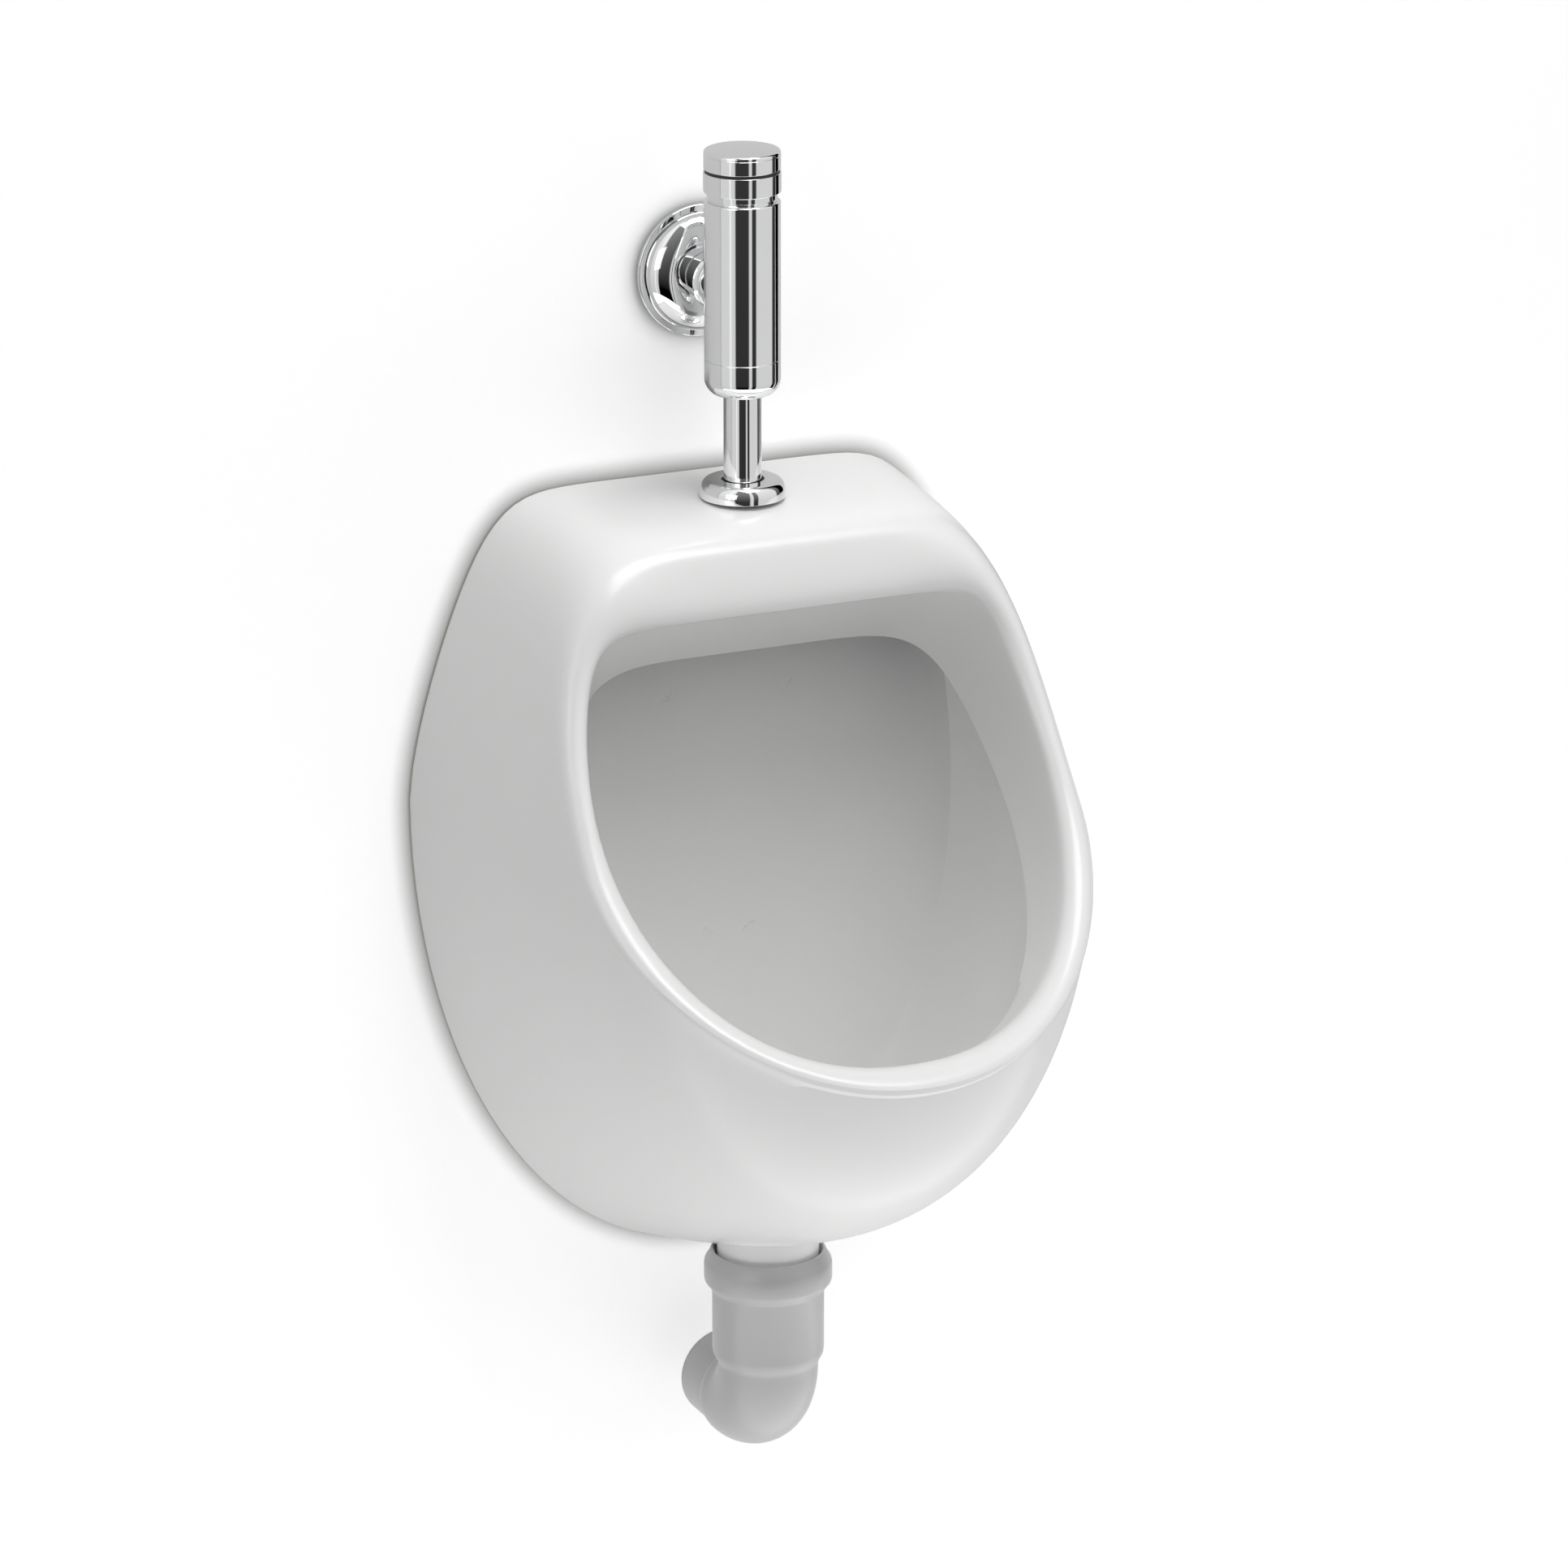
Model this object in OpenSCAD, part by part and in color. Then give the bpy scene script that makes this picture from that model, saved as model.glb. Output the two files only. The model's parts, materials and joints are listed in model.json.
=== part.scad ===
// Small wall-hung urinal with a top inlet, a timed push-button flush valve and a
// plastic waste elbow.
// The wall is the plane Y = 0, the room is at -Y, and Z is up. The origin is the
// centre between the two hanger holes, on the wall.
// "Reach" is a distance from the wall, and "drop" is a distance below the top of
// the ceramic.

/* [Ceramic outside] */
// Height of the ceramic top above the hanger holes
hanger_drop = 62; // [56:1:80]
// Widest width of the back edge
body_w = 330; // [318:1:350]
// Width of the back edge at the top
body_top_w = 227; // [216:1:240]
// Height of the back edge
body_h = 426; // [416:1:440]
// Drop of the widest level
wide_drop = 158; // [148:1:170]
// Reach of the front panel at its top edge
panel_reach = 107; // [103:1:114]
// Drop where the top rounds over into the front panel
panel_drop = 15; // [13:1:18]
// Width of the outside of the rim
rim_outer_w = 280; // [274:1:286]
// Reach of the underside of the lip
lip_reach = 279; // [272:1:286]
// Drop of the underside of the lip
lip_drop = 252.5; // [248:0.5:256]
// Width of the rim at the sides
rim_side_w = 15.5; // [13:0.5:17]
// Width of the rim at the lip
rim_lip_w = 11; // [8:0.5:12]
// Height of the front panel, down to the fold over the opening
panel_h = 31; // [28:1:35]
// How far the rim swells forward of its edges
rim_swell = 15; // [11:0.5:16]

/* [Ceramic inside] */
// Depth of the splash flange behind the rim, at the top
flange_depth = 41; // [36:1:44]
// How far the flange slopes down at the top
flange_drop = 32; // [26:1:36]
// Thickness of the flange edge
flange_edge = 6; // [5:0.5:8]
// Widest width of the bowl
bowl_w = 274; // [264:1:280]
// Reach of the back wall of the bowl
bowl_reach = 35; // [34:0.5:38]
// Thickness of the back wall of the bowl
bowl_wall = 11; // [9:0.5:12]
// Thickness of the top wall
top_wall = 13; // [11:0.5:16]
// Height of the bowl floor above the lowest point of the back edge
floor_rise = 44; // [42:1:48]
// Width of the back edge that touches the wall
back_land = 12; // [9:1:16]

/* [Waste] */
// Reach of the waste outlet
drain_reach = 85; // [80:1:92]
// Outside diameter of the ceramic outlet spigot
spigot_d = 54; // [52:0.5:54.5]
// Length of the outlet spigot below the bowl floor
spigot_len = 75; // [65:1:76]
// Bore of the outlet spigot
spigot_bore = 40; // [38:0.5:42]
// Throat above the crossbar
throat_d = 34; // [30:0.5:36]
// Diameter of the strainer
strainer_d = 58; // [52:1:60]
// Thickness of the strainer
strainer_t = 2.5; // [2:0.1:3]
// Diameter of the strainer screw
strainer_screw_d = 5; // [4:0.5:6]
// Drop of the elbow mouth below the bowl floor
mouth_drop = 21; // [21:0.5:25]
// Outside diameter of the elbow collar
collar_d = 67.6; // [66:0.2:70]
// Height of the mouth over the full width of the collar
collar_rise = 7.5; // [7:0.5:8]
// Height of the elbow collar
collar_h = 11; // [10:0.5:12]
// Outside diameter of the elbow socket
socket_d = 59; // [58.8:0.2:60.4]
// Outside diameter of the elbow bend
bend_d = 53; // [51:0.5:54]
// Wall of the elbow
elbow_wall = 2; // [1.6:0.1:2.2]
// Drop of the horizontal leg below the bowl floor
leg_drop = 113; // [110:1:119]
// Outside diameter of the plain end of the elbow
waste_d = 50; // [48:0.5:50]
// Length of the plain end of the elbow
waste_len = 25; // [20:1:28]
// Length of the cone between the bend and the plain end
waste_cone = 5; // [3:0.5:8]

/* [Hangers] */
// Distance between the hanger holes
hanger_span = 140; // [120:1:160]
// Diameter of each hanger hole
hanger_hole_d = 8.5; // [7:0.5:9]
// Width of each hanger
hanger_w = 42; // [34:1:48]
// Thickness of the hanger plate
hanger_t = 3; // [2.5:0.1:4]
// Height of the hanger shelf above the holes
shelf_rise = 18; // [16:1:22]
// Thickness of the rubber pad on the shelf
pad_t = 1.5; // [1:0.1:2]

/* [Flush inlet] */
// Reach of the flush pipe and valve axis
valve_reach = 54; // [53:0.5:58]
// Outside diameter of the flush pipe
pipe_d = 19.6; // [19:0.1:20]
// Wall of the flush pipe
pipe_wall = 1; // [0.8:0.1:1.2]
// Outside diameter of the threaded spud
spud_d = 26; // [25:0.5:27]
// Clearance between the spud and the ceramic hole, all round
spud_gap = 0.75; // [0.5:0.05:1]
// Outside diameter of the spud flange under the ceramic
spud_flange_d = 35; // [34:0.5:36]
// Width across the flats of the spud nut
spud_nut_flats = 32; // [31.5:0.5:33]
// Height of the spud nut
spud_nut_h = 5; // [4:0.5:5.5]
// Outside diameter of the pipe flange
flange_d = 44.6; // [44:0.2:48]
// Height of the pipe flange
flange_h = 9; // [8.6:0.2:11]

/* [Valve] */
// Outside diameter of the valve body
valve_d = 39.2; // [38.8:0.2:40]
// Height of the lower end of the valve above the ceramic
valve_rise = 53.6; // [48:0.2:60]
// Height of the outlet nut
outlet_nut_h = 19.1; // [18.1:0.5:22.1]
// Radius of the rounded end of the outlet nut
outlet_nut_round = 9; // [7:0.5:9.5]
// Height of the valve body
valve_body_h = 83; // [80:0.5:90]
// Height of the water inlet above the lower end of the valve
inlet_rise = 53; // [50:0.5:56]
// Outside diameter of the neck below the button
neck_d = 36; // [35.6:0.1:36.2]
// Outside diameter of the button skirt
button_d = 39.8; // [39.6:0.2:40.6]
// Height of the button skirt
skirt_h = 10.4; // [9.6:0.2:12]
// Height of the dark ring in the button
ring_h = 1.5; // [1.2:0.1:2]
// Height of the button cap
cap_h = 10.8; // [10:0.2:13]
// Height of the dome of the cap
cap_dome = 1; // [0.6:0.1:1.4]
// Gap between the body and the button at rest
button_gap = 4.4; // [4:0.1:5]
// Travel of the button
button_travel = 2.8; // [2.7:0.1:3]
// Diameter of the stem
stem_d = 6; // [5:0.5:7]
// Outside diameter of the piston
piston_d = 18; // [17.6:0.1:18.4]
// Running clearance of the stem and of the piston, all round
run_gap = 0.05; // [0.02:0.01:0.08]
// Diameter of each flow port
port_d = 2.4; // [1.6:0.1:2.5]
// Number of flow ports
port_count = 8; // [6:1:10]
// Diameter of the spring wire
wire_d = 1.4; // [1:0.1:1.6]
// Number of turns of the spring
spring_turns = 5; // [4:1:7]

/* [Water inlet] */
// Outside diameter of the inlet arm
arm_d = 26; // [24:0.5:27]
// Bore of the inlet arm
arm_bore = 13; // [11:0.5:14]
// Outside diameter of the inlet thread behind the wall
inlet_d = 20.96; // [20.4:0.02:21.2]
// Length of the inlet thread behind the wall
inlet_len = 16; // [12:0.5:24]
// Outside diameter of the inlet collar
inlet_collar_d = 31; // [30:0.5:32]
// Outside diameter of the wall rosette
rosette_d = 70; // [66:0.5:74]
// Depth of the wall rosette
rosette_h = 12; // [10:0.5:13]

/* [Hidden] */
$fn = 64;

// Shared levels
top_z = hanger_drop;
floor_z = top_z - body_h + floor_rise;
mouth_z = floor_z - mouth_drop;
leg_z = floor_z - leg_drop;
valve_z = top_z + valve_rise;
body_z = valve_z + outlet_nut_h;
body_top_z = body_z + valve_body_h;
inlet_z = valve_z + inlet_rise;
skirt_z = body_top_z + button_gap;
ring_z = skirt_z + skirt_h;
cap_z = ring_z + ring_h;
small = 0.01;
// Overcut of a cutting shape beyond the face that it cuts
over = 1;

// Colours
glaze = [0.93, 0.93, 0.92];
chrome = [0.78, 0.79, 0.81];
brass = [0.78, 0.64, 0.35];
steel = [0.66, 0.67, 0.69];
rubber = [0.1, 0.1, 0.1];
plastic = [0.86, 0.87, 0.87];

// The ceramic is a loft through closed rings. A ring is an outline seen from the
// front, with a straight-sided top and a round bottom, and a side curve that says
// how far it stands from the wall at each level.
ring_points = 104;
quarter = ring_points / 4;

function mix(a, b, u) = a + (b - a) * u;
function outline(half, top_half, top, wide, bottom, corner, belly, taper,
        reach_top, reach_bottom, bow = 0.7) =
    [half, top_half, top, wide, bottom, corner, belly, taper, reach_top, reach_bottom, bow];
function cubic(a, p, q, b, u) =
    a * pow(1 - u, 3) + p * 3 * u * pow(1 - u, 2) + q * 3 * u * u * (1 - u) + b * pow(u, 3);
function unit_point(n, angle) =
    let (c = cos(angle), s = sin(angle), r = pow(pow(abs(c), n) + pow(abs(s), n), -1 / n))
    [r * c, r * s];
// Points crowd towards the two top corners, where the outline bends most
function ring_angle(k) =
    let (q = floor(k / quarter), f = k / quarter - q, v = 2 * f - 1)
    90 * q + (q < 2 ? 45 + 45 * (0.55 * v + 0.45 * v * v * v) : 90 * f);
function side_reach(o, z) =
    let (h = (o[2] - z) / (o[2] - o[4]))
    o[8] + (o[9] - o[8]) * (h * (1 - o[10]) + o[10] * h * h);
function ring_point(o, k) =
    let (
        angle = ring_angle(k),
        p = unit_point(angle < 180 ? o[5] : o[6], angle),
        z = o[3] + p[1] * (angle < 180 ? o[2] - o[3] : o[3] - o[4]),
        rise = max(0, (z - o[3]) / (o[2] - o[3])),
        half = o[0] - (o[0] - o[1]) * pow(rise, o[7])
    )
    [p[0] * half, -side_reach(o, z), top_z + z];
function ring(o) = [for (k = [0 : ring_points - 1]) ring_point(o, k)];
function blend_rings(a, b, u) = [for (i = [0 : len(a) - 1]) mix(a[i], b[i], u)];

// The named rings, from the back edge round the rim to the bowl and its back
behind = -2;
back_edge = outline(body_w / 2, body_top_w / 2, 0, -wide_drop, -body_h, 9.5, 2.02, 1.46, behind, behind);
// The skin is drawn towards this ring between the back edge and the rim, and so gets its fullness
girth = outline(body_w / 2 - 21, body_top_w / 2 - 1.8, 0, -wide_drop + 6.5, -lip_drop - 103,
    7.2, 2, 1.61, panel_reach - 6, lip_reach - 18, 0.12);
girth_pull = 0.78;
function eased(u) = let (v = max(0, min(1, u))) v * v * (3 - 2 * v);
function lift_of(k) = unit_point(2.2, ring_angle(k))[1];
// Point of the girth, kept behind the rim so that the skin meets the rim on its way forward
girth_setback = 16;
function girth_point(k) =
    let (
        g = ring_point(girth, k),
        limit = -ring_point(rim_outside, k)[1] - mix(girth_setback, 2, eased((lift_of(k) - 0.7) / 0.3)),
        d = -g[1] - limit
    )
    [g[0], -(limit - g[1] - sqrt(d * d + 16)) / 2, g[2]];
rim_outside = outline(rim_outer_w / 2, body_top_w / 2 - 4, -panel_drop, -wide_drop + 5.5, -lip_drop,
    9, 2.02, 2.3, panel_reach, lip_reach, 1.04);
rim_inside = outline(rim_outer_w / 2 - rim_side_w, body_top_w / 2 - 7.5, -panel_drop - panel_h,
    -wide_drop + 26, -lip_drop + rim_lip_w, 10, 2.3, 1.6, panel_reach + 5, lip_reach - 18);
flange_in = outline(rim_inside[0] - 4.5, rim_inside[1] - 11.5, rim_inside[2] - flange_drop,
    -wide_drop - 4, rim_inside[4] - 17, 6.7, 2.3, 1.6,
    rim_inside[8] - flange_depth, rim_inside[9] - 26);
flange_back = outline(flange_in[0] + flange_edge, flange_in[1] + flange_edge, flange_in[2] + flange_edge,
    flange_in[3], flange_in[4] - flange_edge, 7, 2.3, 1.6, flange_in[8] - 3, flange_in[9] - 7);
bowl_half = bowl_w / 2;
bowl_top_half = bowl_half - 26;
floor_level = floor_z - top_z;
// A bowl ring by its inset from the widest bowl, its drop from the top wall and its height over the floor
function bowl_ring(inset, top_drop, over_floor, corner, reach_top, reach_bottom) =
    outline(bowl_half - inset, bowl_top_half - inset * 0.7, -top_wall - top_drop, -wide_drop - 2,
        floor_level + over_floor, corner, 2.25, 1.5, reach_top, reach_bottom);
bowl_rings = [
    bowl_ring(3, 10, 78, 8, panel_reach - 20, lip_reach - 39),
    bowl_ring(0, 2, 41, 8, panel_reach - 38, lip_reach - 98),
    bowl_ring(1, 1, 12, 8, panel_reach - 54, lip_reach - 155),
    bowl_ring(3, 2, 0, 8, bowl_reach + 8, drain_reach - 5),
    bowl_ring(8, 5, 9, 8, bowl_reach + 3, bowl_reach + 18),
    bowl_ring(15, 11, 33, 7, bowl_reach + 1, bowl_reach + 5),
    bowl_ring(44, 35, 78, 5, bowl_reach + 0.5, bowl_reach + 1.5),
    bowl_ring(92, 90, 140, 3, bowl_reach, bowl_reach)
];
bowl_centre = [0, -bowl_reach, top_z - wide_drop - 20];
recess_reach = bowl_reach - bowl_wall;
recess_edge = outline(body_w / 2 - back_land, body_top_w / 2 - back_land, -back_land, -wide_drop,
    -body_h + back_land, 8, 2.05, 1.46, behind, behind);
function recess_ring(inset, reach) =
    outline(recess_edge[0] - inset, recess_edge[1] - inset, recess_edge[2] - inset, recess_edge[3],
        recess_edge[4] + inset, 7, 2.1, 1.46, reach, reach);
recess_rings = [
    recess_ring(2, recess_reach - 6),
    recess_ring(8, recess_reach),
    recess_ring(60, recess_reach)
];
recess_centre = [0, -recess_reach, bowl_centre[2]];

// Outside skin, from the back edge to the rim
skin_steps = 12;
function skin_ring(j) =
    let (s = j / skin_steps)
    [for (k = [0 : ring_points - 1])
        let (
            a = ring_point(back_edge, k),
            b = ring_point(rim_outside, k),
            g = girth_point(k)
        )
        cubic(a, mix(a, g, girth_pull), mix(b, g, girth_pull), b, s)];
// The rim turns over in one curve, from the skin to the splash flange. It runs on from
// the skin at the top and the sides, and swells forward and up in a soft fold at the lip.
// Under the front panel it turns in almost level, and meets the flange in a shallow fold.
rim_steps = 8;
rim_lead = 10;
function rim_ring(j) =
    let (u = j / rim_steps)
    [for (k = [0 : ring_points - 1])
        let (
            a = ring_point(rim_outside, k),
            b = ring_point(rim_inside, k),
            e = ring_point(flange_in, k),
            along = ring_point(rim_outside, (k + 1) % ring_points)
                - ring_point(rim_outside, (k + ring_points - 1) % ring_points),
            out = a - girth_point(k),
            run = out - along * (out * along) / (along * along),
            lift = lift_of(k),
            tilt = mix(8, 30, max(0, -lift)),
            ahead = [0, -cos(tilt), sin(tilt)] * rim_swell,
            on = run / norm(run) * mix(rim_swell, rim_lead, pow(max(0, lift), 3)),
            fold = mix(0.7 * eased((0.75 - lift) / 0.4), 1, eased(0.5 - lift * 3)),
            p1 = a + mix(on, ahead, fold),
            under = mix((b - e) / norm(b - e), [0, -1, 0], 0.75 * eased((lift - 0.4) / 0.4)),
            p2 = b + under * 9
        )
        cubic(a, p1, p2, b, u)];
flange_steps = 3;
// Smooth curve through the bowl rings, by the Catmull-Rom rule
bowl_steps = 2;
function through(p0, p1, p2, p3, u) =
    [for (i = [0 : len(p1) - 1])
        0.5 * (2 * p1[i] + (p2[i] - p0[i]) * u
            + (2 * p0[i] - 5 * p1[i] + 4 * p2[i] - p3[i]) * u * u
            + (3 * p1[i] - p0[i] - 3 * p2[i] + p3[i]) * u * u * u)];
function bowl_between(i, u) =
    let (n = len(bowl_rings) - 1)
    through(bowl_rings[max(0, i - 1)], bowl_rings[i], bowl_rings[i + 1], bowl_rings[min(n, i + 2)], u);
function body_rings() = concat(
    [for (i = [len(recess_rings) - 1 : -1 : 0]) ring(recess_rings[i])],
    [ring(recess_edge)],
    [for (j = [0 : skin_steps - 1]) skin_ring(j)],
    [for (j = [0 : rim_steps - 1]) rim_ring(j)],
    [for (j = [0 : flange_steps]) ring(blend_rings(rim_inside, flange_in, j / flange_steps))],
    [ring(flange_back)],
    [for (i = [0 : len(bowl_rings) - 2], j = [0 : bowl_steps - 1]) ring(bowl_between(i, j / bowl_steps))],
    [ring(bowl_rings[len(bowl_rings) - 1])]);

// Closed solid through a list of rings, with a point that closes each end
module loft(rings, first, last) {
    n = len(rings[0]);
    m = len(rings);
    points = concat([first, last], [for (r = rings) each r]);
    faces = concat(
        [for (k = [0 : n - 1]) [0, 2 + k, 2 + (k + 1) % n]],
        [for (i = [0 : m - 2], k = [0 : n - 1])
            let (a = 2 + i * n, b = a + n, l = (k + 1) % n)
            each [[a + k, b + l, a + l], [a + k, b + k, b + l]]],
        [for (k = [0 : n - 1]) let (a = 2 + (m - 1) * n) [1, a + (k + 1) % n, a + k]]);
    polyhedron(points, faces);
}

// Upright round solid on the axis at the given reach, between two levels
module post(reach, r, low, high) {
    translate([0, -reach, low]) cylinder(r = r, h = high - low);
}
module tube(reach, r, bore_r, low, high) {
    difference() {
        post(reach, r, low, high);
        post(reach, bore_r, low - over, high + over);
    }
}
// Turned part on the axis at the given reach, from corners of radius and level
module turned(reach, corners) {
    translate([0, -reach, 0]) rotate_extrude() polygon(corners);
}
// Round solid on the water inlet axis, between two places along Y
module inlet_post(r, from, to) {
    translate([0, from, inlet_z]) rotate([-90, 0, 0]) cylinder(r = r, h = to - from);
}
// Seal ring of round section, between two radii, centred on a level
module seal_ring(reach, inner_r, outer_r, level) {
    section = (outer_r - inner_r) / 2;
    translate([0, -reach, level]) rotate_extrude()
        translate([inner_r + section, 0]) circle(r = section, $fn = 24);
}
// Corners of a quarter arc, from one angle to another, as radius and level
function arc(centre, rx, ry, from, to, steps = 8) =
    [for (i = [0 : steps]) let (a = mix(from, to, i / steps)) centre + [rx * cos(a), ry * sin(a)]];
// Round holes through a wall round the axis at the given reach, from inside the bore outwards
module side_holes(reach, level, count, d, bore_r, out_r) {
    for (i = [0 : count - 1])
        translate([0, -reach, level]) rotate([0, 0, i * 360 / count + 15])
            translate([bore_r - over, 0, 0]) rotate([0, 90, 0])
                cylinder(d = d, h = out_r - bore_r + 2 * over);
}

// Clearances
thread_gap = 0.1;
seat_gap = 1;

// Hangers and the ceramic lugs that rest on them
hanger_below = 25;
hanger_above = 35;
shelf_reach = 17;
shelf_top = shelf_rise + hanger_t;
shelf_end = shelf_rise + 12;
lug_low = shelf_top + pad_t;
lug_h = 20;
lug_root = 4;
lug_front_gap = 2;

module hanging_lugs() {
    w = hanger_w + 4;
    for (side = [-1, 1]) translate([side * hanger_span / 2 - w / 2, 0, lug_low]) difference() {
        translate([0, -recess_reach - lug_root, 0])
            cube([w, recess_reach + lug_root - hanger_t - lug_front_gap, lug_h]);
        translate([-over, -shelf_reach - seat_gap, -over])
            cube([w + 2 * over, hanger_t + 2 * seat_gap, shelf_end - lug_low + seat_gap + over]);
    }
}
module hanger() {
    difference() {
        union() {
            translate([-hanger_w / 2, -hanger_t, -hanger_below])
                cube([hanger_w, hanger_t, hanger_below + hanger_above]);
            translate([-hanger_w / 2, -shelf_reach, shelf_rise]) cube([hanger_w, shelf_reach, hanger_t]);
            translate([-hanger_w / 2, -shelf_reach, shelf_rise])
                cube([hanger_w, hanger_t, shelf_end - shelf_rise]);
        }
        translate([0, over, 0]) rotate([90, 0, 0]) cylinder(d = hanger_hole_d, h = hanger_t + 2 * over);
    }
}
module hanger_left() {
    color(steel) translate([-hanger_span / 2, 0, 0]) hanger();
}
module hanger_right() {
    color(steel) translate([hanger_span / 2, 0, 0]) hanger();
}
module hanger_pads() {
    depth = shelf_reach - 2 * hanger_t;
    color(rubber) for (side = [-1, 1])
        translate([side * hanger_span / 2 - hanger_w / 2 + 2, -hanger_t - depth, shelf_top])
            cube([hanger_w - 4, depth, pad_t]);
}

// Waste outlet: strainer on a ledge in the bowl floor, held by a bar under the throat
strainer_seat = floor_z - 1.5;
throat_low = strainer_seat - 10;
spigot_low = floor_z - spigot_len;
crossbar_h = 4;
crossbar_w = 7;
screw_r = strainer_screw_d / 2;
drain_holes = [[8, 6, 4], [13.2, 12, 3.8]];

module outlet_cuts() {
    post(drain_reach, strainer_d / 2 + seat_gap, strainer_seat, floor_z + 25);
    post(drain_reach, throat_d / 2, throat_low - over, strainer_seat + over);
    post(drain_reach, spigot_bore / 2, spigot_low - over, throat_low);
}
module outlet_strainer() {
    top = strainer_seat + strainer_t;
    r = strainer_d / 2;
    hole_r = screw_r + thread_gap;
    bevel = strainer_t / 3;
    color(chrome) difference() {
        turned(drain_reach, [[0, strainer_seat], [r, strainer_seat], [r, top - bevel], [r - bevel, top],
            [0, top]]);
        post(drain_reach, hole_r, strainer_seat - over, top);
        translate([0, -drain_reach, strainer_seat])
            cylinder(r1 = hole_r, r2 = hole_r + strainer_t, h = strainer_t + small);
        for (row = drain_holes, i = [0 : row[1] - 1])
            translate([0, -drain_reach, 0]) rotate(i * 360 / row[1])
                translate([row[0], 0, strainer_seat - over])
                    cylinder(d = row[2], h = strainer_t + 2 * over);
    }
}
module strainer_screw() {
    top = strainer_seat + strainer_t;
    color(steel) difference() {
        union() {
            post(drain_reach, screw_r, throat_low - crossbar_h - 3, top);
            translate([0, -drain_reach, strainer_seat])
                cylinder(r1 = screw_r, r2 = screw_r + strainer_t, h = strainer_t);
        }
        for (turn = [0, 90]) translate([0, -drain_reach, top - 1]) rotate(turn)
            translate([-screw_r, -0.5, 0]) cube([2 * screw_r, 1, 1 + over]);
    }
}
module strainer_crossbar() {
    half = (throat_d + spigot_bore) / 4;
    color(brass) difference() {
        translate([-half, -drain_reach - crossbar_w / 2, throat_low - crossbar_h])
            cube([2 * half, crossbar_w, crossbar_h]);
        post(drain_reach, screw_r + thread_gap / 2, throat_low - crossbar_h - over, throat_low + over);
    }
}

// Waste elbow: a socket with a collar for the seal, and a tight bend to the wall
bend_r = bend_d / 2 + 1.5;
bend_top = leg_z + bend_r;
socket_bore = spigot_d / 2 + 0.9;
mouth_r = socket_bore + elbow_wall + 0.4;
collar_high = mouth_z - collar_rise;
collar_low = collar_high - collar_h;
socket_low = spigot_low - 3.8;
seal_room = collar_d / 2 - elbow_wall - 0.2;

module elbow_bend(r) {
    translate([0, bend_r - drain_reach, bend_top]) rotate([-90, 0, -90])
        rotate_extrude(angle = 90) translate([bend_r, 0]) circle(r = r);
}
leg_from = bend_r - drain_reach;
plain_from = leg_from + waste_cone;
module elbow_leg(from, to, r, r_end) {
    translate([0, from, leg_z]) rotate([-90, 0, 0]) cylinder(r1 = r, r2 = r_end, h = to - from);
}
// A turned piece of the elbow, drawn up from the level where the bend begins
module over_bend(points) {
    translate([0, 0, bend_top]) turned(drain_reach, [for (p = points) [p[0], p[1] - bend_top]]);
}
module waste_elbow() {
    bore = bend_d / 2 - elbow_wall;
    plain_r = waste_d / 2;
    plain_bore = plain_r - elbow_wall;
    color(plastic) difference() {
        union() {
            over_bend([[0, bend_top], [bend_d / 2, bend_top], [bend_d / 2, bend_top + 2],
                [socket_d / 2, socket_low], [socket_d / 2, collar_low - 4], [collar_d / 2 - 1, collar_low],
                [collar_d / 2, collar_low + 2], [collar_d / 2, collar_high],
                [collar_d / 2 - 0.8, collar_high + 2], [mouth_r, mouth_z - 0.8], [mouth_r, mouth_z],
                [0, mouth_z]]);
            elbow_bend(bend_d / 2);
            elbow_leg(leg_from, plain_from, bend_d / 2, plain_r);
            elbow_leg(plain_from, plain_from + waste_len, plain_r, plain_r);
        }
        union() {
            over_bend([[0, bend_top], [bore, bend_top], [bore, spigot_low - 2.5],
                [socket_bore, spigot_low - seat_gap], [socket_bore, collar_low + 1.5],
                [seal_room, collar_low + 1.5], [seal_room, collar_high - 0.5],
                [socket_bore, collar_high - 0.5], [socket_bore, mouth_z - 3],
                [socket_bore + 0.8, mouth_z], [socket_bore + 0.8, mouth_z + over], [0, mouth_z + over]]);
            elbow_bend(bore);
            elbow_leg(leg_from, plain_from, bore, plain_bore);
            elbow_leg(plain_from, plain_from + waste_len + over, plain_bore, plain_bore);
        }
    }
}
module elbow_seal() {
    color(rubber) tube(drain_reach, seal_room - 0.2, spigot_d / 2, collar_low + 1.7, collar_high - 0.7);
}

// Flush inlet: a threaded spud through the top wall, with a spreader head inside the bowl
pipe_r = pipe_d / 2;
pipe_low = top_z - 8;
spud_r = spud_d / 2;
spud_top = top_z + 6.8;
spud_seal_t = 2.5;
spud_flange_t = 3.5;
spud_seat = top_z - top_wall;
spud_flange_low = spud_seat - spud_seal_t - spud_flange_t;
head_len = 15;
head_floor = 2;
head_holes = 12;
head_hole_d = 4;
head_bore_r = spud_r - 3.5;
washer_t = 1.5;
pipe_seal_h = 5;
pipe_seal_r = pipe_r + 1.8;
flange_pocket_r = spud_nut_flats / 2 / cos(30) + 0.8;
flange_hole_r = pipe_r + 1.2;
flange_roof = flange_h - 7;

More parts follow.
